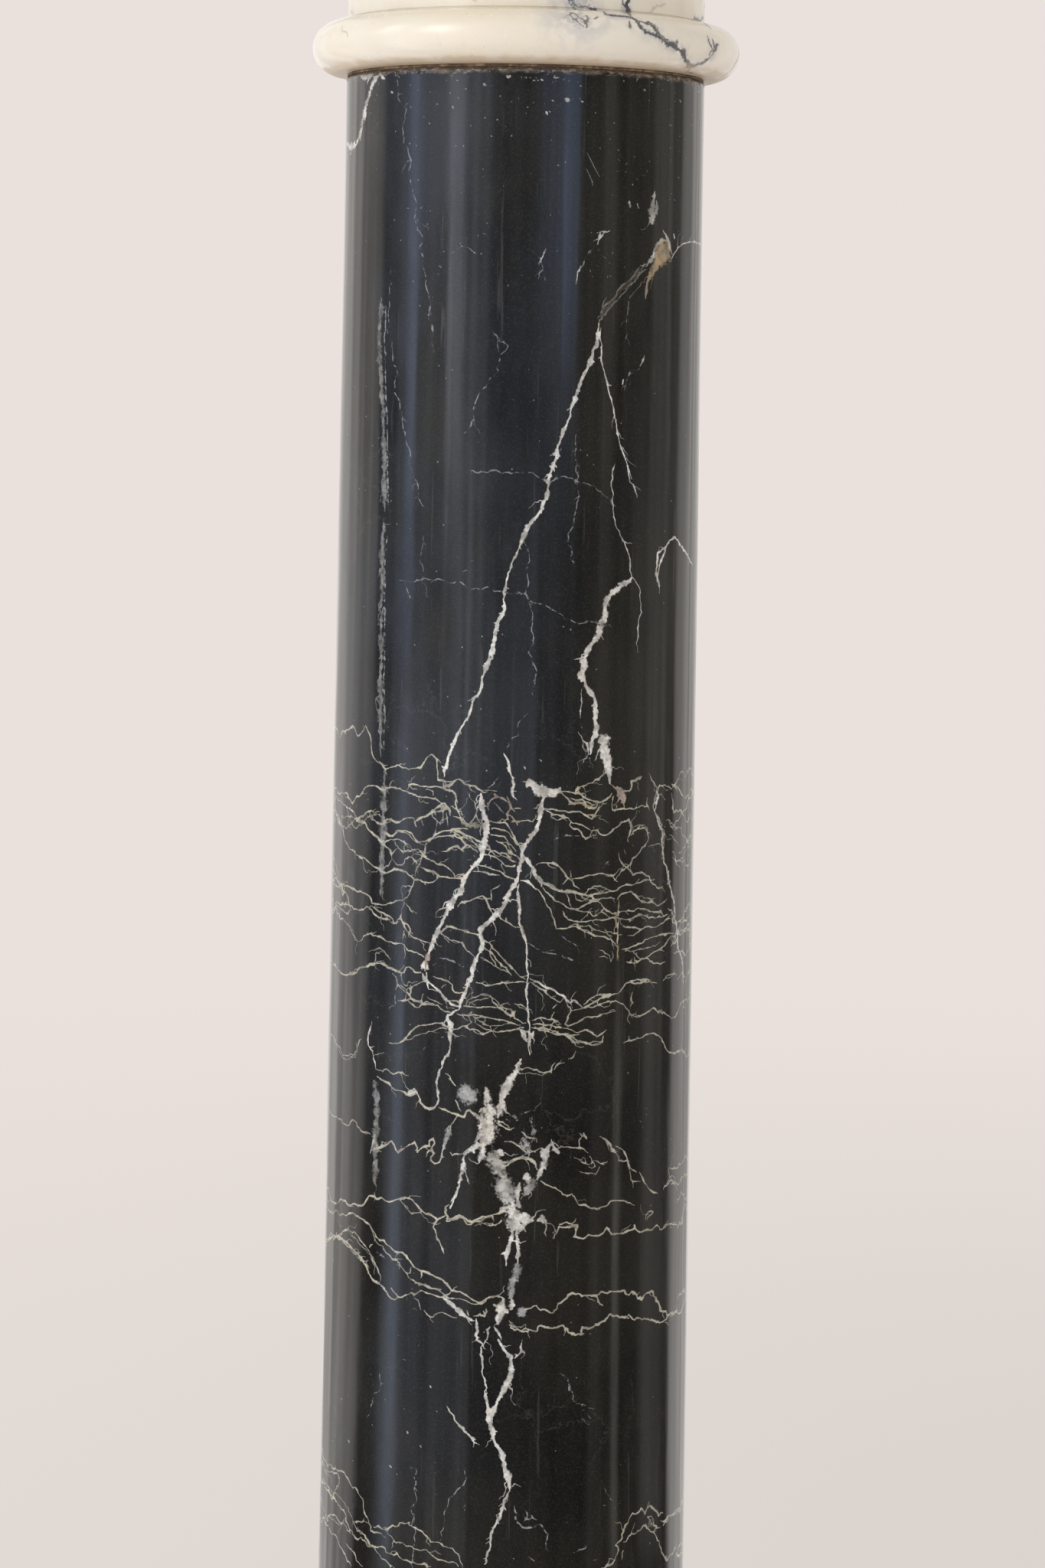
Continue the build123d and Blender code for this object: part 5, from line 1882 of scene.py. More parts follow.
class Effects:
    """The shader groups that more than one finish uses."""

    CRUMB: Colour = (0.36, 0.38, 0.40)
    STAIN: Colour = (0.46, 0.34, 0.20)

    def __init__(self) -> None:
        """Builds the groups."""
        self.vein = self.make_vein()
        self.wear = self.make_wear()
        # A band about one height: dirt on the black stone, dirt and painted crease shade on the cream
        # stone.
        self.grime = self.make_dirt_and_shade_band()
        self.dendrite = self.make_dendrite()

    @staticmethod
    def start(name: str, inputs: dict[str, float], outputs: dict[str, str]) -> tuple[Sheet, object, object]:
        """Starts a group.

        Args:
            name: Its name.
            inputs: Its inputs and what they start at.
            outputs: Its outputs and their kinds, Float or Color.

        Returns:
            Its sheet, and its input and output nodes.
        """
        tree = bpy.data.node_groups.new(name, "ShaderNodeTree")
        for label, value in inputs.items():
            socket = tree.interface.new_socket(name=label, in_out="INPUT", socket_type="NodeSocketFloat")
            socket.default_value = value
        for label, kind in outputs.items():
            tree.interface.new_socket(name=label, in_out="OUTPUT", socket_type=f"NodeSocket{kind}")
        sheet = Sheet(tree)
        return sheet, sheet.add("NodeGroupInput"), sheet.add("NodeGroupOutput")

    def make_vein(self) -> bpy.types.NodeTree:
        """Returns the group that turns the vein attribute into a ragged mask, a halo and a colour."""
        outputs = {"Mask": "Float", "Halo": "Float", "Colour": "Color"}
        sheet, given, result = self.start("vein_field", {"Grain": 900.0, "Ragged": 0.9}, outputs)
        attribute = sheet.add("Attribute", attribute_name=VEIN_ATTRIBUTE, attribute_type="GEOMETRY")
        parts = sheet.add("SeparateXYZ", {"Vector": attribute.outputs["Vector"]}).outputs
        place = sheet.object_place()
        feeds = {"Vector": place, "Scale": given.outputs["Grain"], "Detail": 3.0}
        fine = sheet.add("TexNoise", feeds).outputs[0]
        coarse = sheet.noise(place, 330.0, 2.0)
        both = sheet.math("SUBTRACT", sheet.math("ADD", fine, coarse), 1.0)
        stray = sheet.math("MULTIPLY", both, given.outputs["Ragged"])
        measure = sheet.math("ADD", parts["X"], stray)
        solid = sheet.between(measure, -0.2, 0.4)
        pale = sheet.between(parts["Y"], 0.1, 0.3)
        cloud = sheet.patches(place, 210.0, 4.0, 0.34, 0.60)
        broken = sheet.math("MULTIPLY", sheet.math("SUBTRACT", 1.0, cloud), pale)
        dash = sheet.patches(place, 400.0, 3.0, 0.56, 0.44)
        off = sheet.math("ABSOLUTE", sheet.math("SUBTRACT", parts["Y"], Tone.SMOKE.value))
        gaps = sheet.math("MULTIPLY", sheet.between(off, 0.12, 0.05), dash)
        uneven = sheet.math("MULTIPLY_ADD", broken, -0.5, 1.0)
        uneven = sheet.math("SUBTRACT", uneven, sheet.math("MULTIPLY", gaps, 0.9), clamp=True)
        mask = sheet.math("MULTIPLY", sheet.math("MULTIPLY", solid, parts["Z"]), uneven)
        colour = sheet.ramp(parts["Y"], TONE_COLOURS)
        crumb = sheet.patches(place, 480.0, 4.0, 0.40, 0.62, 0.6)
        ashy = sheet.tint(colour, crumb, 0.45, self.CRUMB)
        patch = sheet.patches(place, 75.0, 2.0, 0.46, 0.68)
        warm = sheet.tint(ashy, patch, 0.22, self.STAIN)
        halo = sheet.math("MULTIPLY", sheet.between(parts["X"], -2.6, 0.3), parts["Z"])
        sheet.feed(result.inputs["Mask"], mask)
        sheet.feed(result.inputs["Halo"], halo)
        sheet.feed(result.inputs["Colour"], sheet.mix(pale, colour, warm))
        return sheet.tree

    def make_wear(self) -> bpy.types.NodeTree:
        """Returns the group of fine scratches, dull smears and dust specks."""
        outputs = {"Scratch": "Float", "Smear": "Float", "Speck": "Float"}
        sheet, given, result = self.start("stone_wear", {"Specks": 0.5}, outputs)
        place = sheet.object_place()
        feeds = {"Vector": place, "Rotation": (0.4, 0.3, 0.7), "Scale": (1.0, 1.0, 0.05)}
        turned = sheet.add("Mapping", feeds)
        feeds = {"Vector": place, "Rotation": (0.0, 0.1, 0.2), "Scale": (1.0, 1.0, 0.03)}
        bent = sheet.add("Mapping", feeds)
        upright = sheet.patches(bent.outputs[0], 420.0, 2.0, 0.67, 0.74)
        slanted = sheet.patches(turned.outputs[0], 300.0, 2.0, 0.69, 0.75)
        sheet.feed(result.inputs["Scratch"], sheet.math("MAXIMUM", upright, slanted))
        streak = sheet.add("Mapping", {"Vector": place, "Scale": (1.0, 1.0, 0.16)}).outputs[0]
        sheet.feed(result.inputs["Smear"], sheet.patches(streak, 26.0, 5.0, 0.4, 0.75, 0.62))
        cell = sheet.add("TexVoronoi", {"Vector": place, "Scale": 330.0}, feature="F1")
        size = sheet.math("MULTIPLY", sheet.noise(place, 90.0, 3.0), 0.20)
        dot = sheet.math("LESS_THAN", cell.outputs["Distance"], size)
        rare = sheet.add("SeparateXYZ", {"Vector": cell.outputs["Color"]}).outputs["X"]
        kept = sheet.math("LESS_THAN", rare, sheet.math("MULTIPLY", given.outputs["Specks"], 0.16))
        sheet.feed(result.inputs["Speck"], sheet.math("MULTIPLY", dot, kept))
        return sheet.tree

    def make_dirt_and_shade_band(self) -> bpy.types.NodeTree:
        """Returns the band about one height, within a radius: dirt on the black stone, dirt and painted
        shade on the cream.
        """
        inputs = {"Height": 0.0, "Reach": 0.004, "Radius": 1.0}
        sheet, given, result = self.start("joint_dirt_and_shade", inputs, {"Mask": "Float"})
        place = sheet.object_place()
        parts = sheet.add("SeparateXYZ", {"Vector": place}).outputs
        away = sheet.math("ABSOLUTE", sheet.math("SUBTRACT", parts["Z"], given.outputs["Height"]))
        flat = sheet.add("CombineXYZ", {"X": parts["X"], "Y": parts["Y"]}).outputs[0]
        radius = sheet.add("VectorMath", {0: flat}, operation="LENGTH").outputs["Value"]
        outside = sheet.math("MAXIMUM", sheet.math("SUBTRACT", radius, given.outputs["Radius"]), 0.0)
        far = sheet.math("ADD", away, outside)
        near = sheet.math("SUBTRACT", 1.0, sheet.math("DIVIDE", far, given.outputs["Reach"]), clamp=True)
        broken = sheet.math("MULTIPLY_ADD", sheet.noise(place, 130.0, 6.0, 0.65), 1.5, -0.75)
        sheet.feed(result.inputs["Mask"], sheet.between(sheet.math("ADD", near, broken), 0.30, 0.95))
        return sheet.tree

    def make_dendrite(self) -> bpy.types.NodeTree:
        """Returns the group of sparse branching veins inside a pale stone."""
        sheet, given, result = self.start("dendrites", {"Scale": 17.0, "Cover": 0.5}, {"Mask": "Float"})
        place = sheet.object_place()
        swirl = sheet.add("TexNoise", {"Vector": place, "Scale": 30.0, "Detail": 6.0, "Roughness": 0.7})
        moved = sheet.add("MixRGB", {"Fac": 0.045, "Color1": place, "Color2": swirl.outputs["Color"]})
        feeds = {"Vector": moved.outputs[0], "Scale": given.outputs["Scale"]}
        cell = sheet.add("TexVoronoi", feeds, feature="DISTANCE_TO_EDGE")
        width = sheet.math("MULTIPLY_ADD", sheet.noise(place, 60.0, 3.0), 0.05, -0.012)
        line = sheet.math("SUBTRACT", width, cell.outputs["Distance"])
        thin = sheet.between(line, -0.004, 0.008)
        area = sheet.noise(sheet.object_place((1.0, 1.0, 0.6)), 6.5, 2.0)
        soft = sheet.between(sheet.math("ADD", area, given.outputs["Cover"]), 1.0, 1.08)
        sheet.feed(result.inputs["Mask"], sheet.math("MULTIPLY", thin, soft))
        return sheet.tree


class Finish:
    """What every finish shares: a material with one stone or metal shader."""

    @staticmethod
    def begin(name: str) -> tuple[bpy.types.Material, Sheet, bpy.types.Node]:
        """Starts a material.

        Args:
            name: Its name.

        Returns:
            The material, its sheet and its shader.
        """
        material = bpy.data.materials.new(name)
        material.use_nodes = True
        sheet = Sheet(material.node_tree)
        shader = sheet.add("BsdfPrincipled")
        output = sheet.add("OutputMaterial")
        sheet.feed(output.inputs["Surface"], shader.outputs["BSDF"])
        return material, sheet, shader

    @staticmethod
    def group(
        sheet: Sheet, tree: bpy.types.NodeTree, feeds: dict | None = None
    ) -> bpy.types.bpy_prop_collection:
        """Places a shared effect in a material and returns its outputs."""
        node = sheet.add("Group", node_tree=tree)
        for key, value in (feeds or {}).items():
            sheet.feed(node.inputs[key], value)
        return node.outputs


@dataclass(frozen=True)
class BlackMarble(Finish):
    """Polished black marble with calcite veins, and a painted reflection: bluer haze toward the top and on
    the left side.
    """

    dark: Colour = (0.0046, 0.0046, 0.0046)
    brown: Colour = (0.0140, 0.0135, 0.0105)
    # Painted reflection: the colour of the bluish haze on the upper, left part of the shaft.
    blue: Colour = (0.024, 0.028, 0.037)
    sugar: Colour = (0.10, 0.10, 0.10)
    scratch: Colour = (0.16, 0.16, 0.16)
    speck: Colour = (0.42, 0.42, 0.40)
    crackle: Colour = (0.16, 0.15, 0.125)
    grime: Colour = (0.20, 0.155, 0.115)
    chalk: Colour = (0.42, 0.38, 0.33)
    roughness: float = 0.09
    ior: float = 1.5
    rim_height: float = 0.9144
    foot_height: float = 0.1344

    def make(self, effects: Effects) -> bpy.types.Material:
        """Returns the material."""
        material, sheet, shader = self.begin("black_marble_polished")
        place = sheet.object_place()
        parts = sheet.add("SeparateXYZ", {"Vector": place}).outputs
        height = parts["Z"]
        cloud = sheet.noise(sheet.object_place((1.0, 1.0, 0.55)), 16.0, 6.0, 0.62)
        cloud = sheet.between(cloud, 0.42, 0.62)
        # Haze patches: the stone's own clouding, made stronger toward the top and bluer on the left side as
        # a painted reflection of the room.
        mist = sheet.noise(sheet.object_place((1.2, 1.2, 0.5)), 12.0, 7.0, 0.62)
        mist = sheet.between(mist, 0.42, 0.62)
        colour = sheet.mix(cloud, self.dark, self.brown)
        upper = sheet.math("MULTIPLY_ADD", sheet.between(height, 0.30, 0.75), 0.55, 0.22)
        painted_sheen_side = sheet.between(parts["X"], 0.035, -0.030)
        haze = sheet.mix(painted_sheen_side, self.brown, self.blue)
        colour = sheet.mix(sheet.math("MULTIPLY", mist, upper), colour, haze)
        sugar = sheet.patches(place, 1100.0, 2.0, 0.48, 0.70)
        colour = sheet.tint(colour, sugar, 0.12, self.sugar)
        dusty = sheet.math("MULTIPLY_ADD", sheet.between(height, 0.86, self.rim_height), 2.4, 0.5)
        wear = self.group(sheet, effects.wear, {"Specks": dusty})
        colour = sheet.tint(colour, wear["Scratch"], 0.12, self.scratch)
        colour = sheet.tint(colour, wear["Speck"], 0.55, self.speck)
        feeds = {"Vector": self.crooked(sheet, place), "Scale": 34.0}
        crack = sheet.add("TexVoronoi", feeds, feature="DISTANCE_TO_EDGE").outputs["Distance"]
        line = sheet.math("SUBTRACT", 1.0, sheet.between(crack, 0.002, 0.012))
        faint = sheet.patches(place, 11.0, 3.0, 0.50, 0.66)
        crackle = sheet.math("MULTIPLY", sheet.math("MULTIPLY", line, faint), 0.18)
        colour = sheet.mix(crackle, colour, self.crackle)
        vein = self.group(sheet, effects.vein, {"Grain": 900.0, "Ragged": 1.3})
        colour = sheet.mix(vein["Mask"], colour, vein["Colour"])
        rim = self.group(sheet, effects.grime, {"Height": self.rim_height, "Reach": 0.0046})
        foot = self.group(sheet, effects.grime, {"Height": self.foot_height, "Reach": 0.0036})
        dirt = sheet.math("MAXIMUM", rim["Mask"], foot["Mask"])
        colour = sheet.tint(colour, dirt, 0.7, self.grime)
        chalk = sheet.noise(sheet.object_place((1.0, 1.0, 2.2)), 330.0, 4.0, 0.62)
        chalk = sheet.between(chalk, 0.50, 0.62)
        lip = sheet.between(height, self.rim_height - 0.0034, self.rim_height - 0.0008)
        chalk = sheet.math("MULTIPLY", sheet.math("MULTIPLY", chalk, lip), 0.7)
        colour = sheet.mix(chalk, colour, self.chalk)
        sheet.feed(shader.inputs["Base Color"], colour)
        dull = sheet.math("MULTIPLY_ADD", wear["Smear"], 0.15, self.roughness)
        dull = sheet.math("MULTIPLY_ADD", vein["Mask"], 0.12, dull)
        dull = sheet.math("MULTIPLY_ADD", dirt, 0.35, dull)
        sheet.feed(shader.inputs["Roughness"], sheet.math("MULTIPLY_ADD", wear["Scratch"], 0.12, dull))
        shader.inputs["IOR"].default_value = self.ior
        wave = sheet.noise(sheet.object_place((1.0, 1.0, 0.14)), 30.0, 3.0)
        swell = sheet.math("MULTIPLY_ADD", wave, 0.00050, sheet.math("MULTIPLY", vein["Mask"], -0.00004))
        bump = sheet.add("Bump", {"Height": swell, "Strength": 0.6, "Distance": 1.0})
        sheet.feed(shader.inputs["Normal"], bump.outputs["Normal"])
        return material

    @staticmethod
    def crooked(sheet: Sheet, place: bpy.types.NodeSocket) -> bpy.types.NodeSocket:
        """Returns the place on the piece, pushed about by a noise."""
        swirl = sheet.add("TexNoise", {"Vector": place, "Scale": 38.0, "Detail": 6.0, "Roughness": 0.7})
        feeds = {"Fac": 0.03, "Color1": place, "Color2": swirl.outputs["Color"]}
        return sheet.add("MixRGB", feeds).outputs[0]


@dataclass(frozen=True)
class DirtAndShadeBand:
    """Dirt and painted shade at one height of the pale stone, within a radius: a darker, warmer band in a
    joint or crease.
    """

    height: float
    reach: float
    radius: float
    strength: float


@dataclass(frozen=True)
class CreamMarble(Finish):
    """Polished cream marble with blue-grey dendrites, which follow the piece where it is veined."""

    pale: Colour = (0.862, 0.815, 0.725)
    warm: Colour = (0.82, 0.715, 0.525)
    grey: Colour = (0.76, 0.735, 0.665)
    ink: Colour = (0.10, 0.115, 0.165)
    # Colour of the dirt and painted shade in the cream stone's joints and creases.
    tan_dirt_and_shade: Colour = (0.60, 0.44, 0.25)
    fleck: Colour = (0.56, 0.47, 0.32)
    speck: Colour = (0.30, 0.24, 0.17)
    haze: Colour = (0.42, 0.42, 0.48)
    roughness: float = 0.17
    ior: float = 1.5
    depth: float = 0.08
    depth_radius: Colour = (0.005, 0.0036, 0.0022)

    def make(self, effects: Effects, veined: bool, dirt_and_shade_bands: tuple[DirtAndShadeBand, ...]) -> bpy.types.Material:
        """Makes the material.

        Args:
            effects: The shared groups.
            veined: Whether the piece carries the vein attribute.
            dirt_and_shade_bands: Where dirt gathers and shade is painted, in joints and creases.

        Returns:
            The material.
        """
        name = "cream_marble_veined" if veined else "cream_marble_plain"
        material, sheet, shader = self.begin(name)
        place = sheet.object_place()
        patch = sheet.patches(place, 19.0, 5.0, 0.38, 0.70, 0.6)
        cloud = sheet.patches(place, 8.0, 6.0, 0.45, 0.72, 0.6)
        colour = sheet.tint(self.pale, patch, 0.34, self.warm)
        colour = sheet.tint(colour, cloud, 0.45, self.grey)
        fleck = sheet.patches(place, 240.0, 4.0, 0.60, 0.72)
        colour = sheet.tint(colour, fleck, 0.12, self.fleck)
        wear = self.group(sheet, effects.wear, {"Specks": 0.35})
        colour = sheet.tint(colour, wear["Speck"], 0.5, self.speck)
        if veined:
            vein = self.group(sheet, effects.vein, {"Grain": 1300.0, "Ragged": 1.5})
            haze = sheet.patches(place, 150.0, 3.0, 0.35, 0.62)
            haze = sheet.math("MULTIPLY", vein["Halo"], haze)
            colour = sheet.tint(colour, haze, 0.75, self.haze)
            colour = sheet.mix(vein["Mask"], colour, vein["Colour"])
        else:
            dark = self.group(sheet, effects.dendrite, {"Scale": 17.0, "Cover": 0.47})
            colour = sheet.tint(colour, dark["Mask"], 0.8, self.ink)
        # Darker, warmer bands in the joints and creases: dirt, and painted shade where the parts meet.
        dirt: object = 0.0
        for line in dirt_and_shade_bands:
            feeds = {"Height": line.height, "Reach": line.reach, "Radius": line.radius}
            mask = self.group(sheet, effects.grime, feeds)["Mask"]
            dirt = sheet.math("MAXIMUM", sheet.math("MULTIPLY", mask, line.strength), dirt)
        colour = sheet.mix(dirt, colour, self.tan_dirt_and_shade)
        sheet.feed(shader.inputs["Base Color"], colour)
        dull = sheet.math("MULTIPLY_ADD", wear["Smear"], 0.10, self.roughness)
        dull = sheet.math("MULTIPLY_ADD", dirt, 0.4, dull)
        sheet.feed(shader.inputs["Roughness"], sheet.math("MULTIPLY_ADD", wear["Scratch"], 0.12, dull))
        shader.inputs["IOR"].default_value = self.ior
        shader.inputs["Subsurface Weight"].default_value = self.depth
        shader.inputs["Subsurface Radius"].default_value = self.depth_radius
        shader.inputs["Subsurface Scale"].default_value = 1.0
        wave = sheet.noise(place, 45.0, 4.0)
        bump = sheet.add("Bump", {"Height": wave, "Strength": 0.5, "Distance": 0.00012})
        sheet.feed(shader.inputs["Normal"], bump.outputs["Normal"])
        return material


@dataclass(frozen=True)
class Mastic(Finish):
    """Dull brown mastic in the joints."""

    dark: Colour = (0.115, 0.070, 0.043)
    light: Colour = (0.36, 0.24, 0.145)

    def make(self) -> bpy.types.Material:
        """Returns the material."""
        material, sheet, shader = self.begin("brown_mastic")
        place = sheet.object_place()
        grain = sheet.noise(place, 420.0, 5.0)
        patch = sheet.noise(place, 60.0, 4.0)
        factor = sheet.between(sheet.math("MULTIPLY", grain, patch), 0.20, 0.38)
        sheet.feed(shader.inputs["Base Color"], sheet.mix(factor, self.dark, self.light))
        sheet.feed(shader.inputs["Roughness"], sheet.math("MULTIPLY_ADD", grain, 0.3, 0.6))
        bump = sheet.add("Bump", {"Height": grain, "Strength": 0.8, "Distance": 0.0004})
        sheet.feed(shader.inputs["Normal"], bump.outputs["Normal"])
        return material


@dataclass(frozen=True)
class Iron(Finish):
    """Dark iron with a thin bloom of rust."""

    bare: Colour = (0.15, 0.145, 0.14)
    rust: Colour = (0.17, 0.065, 0.025)

    def make(self) -> bpy.types.Material:
        """Returns the material."""
        material, sheet, shader = self.begin("rusty_iron")
        place = sheet.object_place()
        bloom = sheet.patches(place, 70.0, 7.0, 0.42, 0.62, 0.68)
        grain = sheet.noise(place, 900.0, 4.0)
        sheet.feed(shader.inputs["Base Color"], sheet.mix(bloom, self.bare, self.rust))
        sheet.feed(shader.inputs["Metallic"], sheet.math("MULTIPLY_ADD", bloom, -0.95, 1.0))
        sheet.feed(shader.inputs["Roughness"], sheet.math("MULTIPLY_ADD", bloom, 0.4, 0.38))
        height = sheet.math("MULTIPLY_ADD", bloom, 0.5, grain)
        bump = sheet.add("Bump", {"Height": height, "Strength": 0.6, "Distance": 0.0003})
        sheet.feed(shader.inputs["Normal"], bump.outputs["Normal"])
        return material


@dataclass(frozen=True)
class Softbox:
    """A soft light: its bearing from the front to the right, distance, height, size and power."""

    name: str
    bearing: float
    distance: float
    height: float
    width: float
    tall: float
    watts: float
    colour: Colour = (1.0, 1.0, 1.0)

    def build(self, target: Vector) -> None:
        """Puts the light into the scene, turned to the target. Gloss shows the room's glows instead."""
        data = bpy.data.lights.new(self.name, "AREA")
        data.shape = "RECTANGLE"
        data.size = self.width
        data.size_y = self.tall
        data.energy = self.watts
        data.color = self.colour
        lamp = bpy.data.objects.new(self.name, data)
        turn = math.radians(self.bearing)
        place = Vector((math.sin(turn) * self.distance, -math.cos(turn) * self.distance, self.height))
        lamp.location = place
        aim = Vector((target.x, target.y, self.height * 0.6 + target.z * 0.4)) - place
        lamp.rotation_euler = aim.to_track_quat("-Z", "Y").to_euler()
        lamp.visible_camera = False
        lamp.visible_glossy = False
        bpy.context.scene.collection.objects.link(lamp)


@dataclass(frozen=True)
class Glow:
    """A bright part of the room, as a polished face sees it.

    bearing, from the front to the right, and half_width are in degrees. foot and top are sines of the
    angle over the level.
    """

    bearing: float
    half_width: float
    foot: float
    top: float
    level: float
    colour: Colour = (1.0, 1.0, 1.0)


@dataclass
class Room:
    """What a polished face sees round the column."""

    SOFT_TURN = 3.0
    SOFT_HEIGHT = 0.03
    LEFT_FADE: Pair = (-110.0, -132.0)
    LEFT_EDGE: Pair = (-100.0, -103.0)
    RIGHT_EDGE: Pair = (120.0, 123.0)
    RIGHT_SHARE = 0.74
    WARM_SIDE: Pair = (20.0, 55.0)
    LOW_EDGE: Pair = (-0.27, -0.08)
    STREAK_SCALE = 0.16
    STREAK_EDGES: Pair = (0.30, 0.70)

    back: Colour = (1.12, 1.07, 1.03)
    high: Colour = (0.258, 0.272, 0.315)
    warm: Colour = (0.25, 0.24, 0.21)
    low: Colour = (0.14, 0.13, 0.11)
    glows: tuple[Glow, ...] = (
        Glow(-52.0, 31.0, -0.60, 1.00, 0.42, (0.94, 0.98, 1.10)),
        Glow(-74.0, 4.5, -0.60, -0.10, 1.10, (0.80, 0.96, 1.30)),
        Glow(-74.0, 4.5, -0.05, 0.14, 1.10, (0.66, 0.84, 1.32)),
        Glow(-43.0, 5.0, -0.01, 0.14, 1.30, (0.96, 0.98, 1.14)),
        Glow(-35.0, 5.0, -0.12, 0.14, 0.50, (0.86, 0.94, 1.18)),
        Glow(-24.0, 7.0, -0.20, 0.14, 0.14, (0.88, 0.94, 1.12)),
        Glow(-64.0, 2.5, -0.20, -0.08, 0.50, (0.92, 1.00, 1.15)),
        Glow(-3.0, 17.0, -0.14, -0.02, 0.17, (0.86, 0.93, 1.18)),
        Glow(20.0, 8.0, 0.02, 0.16, 0.48, (0.62, 0.82, 1.30)),
        Glow(30.5, 4.5, 0.02, 0.16, 0.95, (0.60, 0.84, 1.38)),
        Glow(57.0, 4.0, -0.60, 0.14, 0.20, (1.05, 1.00, 0.90)),
        Glow(71.0, 2.0, -0.60, -0.18, 0.85, (1.05, 1.00, 0.88)),
        Glow(84.0, 8.0, -0.12, 0.00, 0.16, (1.02, 1.00, 0.94)),
        Glow(101.0, 10.0, -0.60, 1.00, 0.32, (1.02, 1.00, 0.95)),
        Glow(-82.0, 4.0, 0.20, 0.60, 5.0, (0.98, 1.00, 1.02)),
        Glow(-49.0, 9.0, 0.22, 0.60, 5.0, (0.98, 1.00, 1.02)),
    )

    def group(self) -> bpy.types.NodeTree:
        """Returns the group that gives the room's colour in a direction."""
        tree = bpy.data.node_groups.new("studio_room", "ShaderNodeTree")
        tree.interface.new_socket(name="Direction", in_out="INPUT", socket_type="NodeSocketVector")
        tree.interface.new_socket(name="Colour", in_out="OUTPUT", socket_type="NodeSocketColor")
        sheet = Sheet(tree)
        given = sheet.add("NodeGroupInput")
        result = sheet.add("NodeGroupOutput")
        parts = sheet.add("SeparateXYZ", {"Vector": given.outputs["Direction"]}).outputs
        turn = sheet.math("ARCTAN2", parts["X"], sheet.math("MULTIPLY", parts["Y"], -1.0))
        bearing = sheet.math("DEGREES", turn)
        left = sheet.math("MULTIPLY_ADD", sheet.between(bearing, *self.LEFT_FADE), 0.25, 0.75)
        left = sheet.math("MULTIPLY", sheet.between(bearing, *self.LEFT_EDGE), left)
        right = sheet.math("MULTIPLY", sheet.between(bearing, *self.RIGHT_EDGE), self.RIGHT_SHARE)
        upper = sheet.mix(sheet.between(bearing, *self.WARM_SIDE), self.high, self.warm)
        front = sheet.mix(sheet.between(parts["Z"], *self.LOW_EDGE), self.low, upper)
        colour = sheet.mix(sheet.math("MAXIMUM", left, right), front, self.back)
        for glow in self.glows:
            off = sheet.math("ABSOLUTE", sheet.math("SUBTRACT", bearing, glow.bearing))
            soft, rise = self.SOFT_TURN / 2, self.SOFT_HEIGHT
            beside = sheet.between(off, glow.half_width + soft, glow.half_width - soft)
            above = sheet.between(parts["Z"], glow.foot - rise, glow.foot + rise)
            below = sheet.between(parts["Z"], glow.top + rise, glow.top - rise)
            inside = sheet.math("MULTIPLY", sheet.math("MULTIPLY", beside, above), below)
            bright = tuple(part * glow.level for part in glow.colour)
            lit = sheet.mix(inside, (0.0, 0.0, 0.0), bright)
            colour = sheet.mix(1.0, colour, lit, "ADD")
        across = sheet.math("MULTIPLY", bearing, self.STREAK_SCALE)
        spot = sheet.add("CombineXYZ", {"X": across, "Y": parts["Z"]}).outputs[0]
        streak = sheet.between(sheet.noise(spot, 1.0, 5.0, 0.66), *self.STREAK_EDGES)
        factor = sheet.math("MULTIPLY_ADD", streak, 1.0, 0.5)
        grey = sheet.add("CombineXYZ", {"X": factor, "Y": factor, "Z": factor}).outputs[0]
        sheet.feed(result.inputs["Colour"], sheet.mix(1.0, colour, grey, "MULTIPLY"))
        return tree


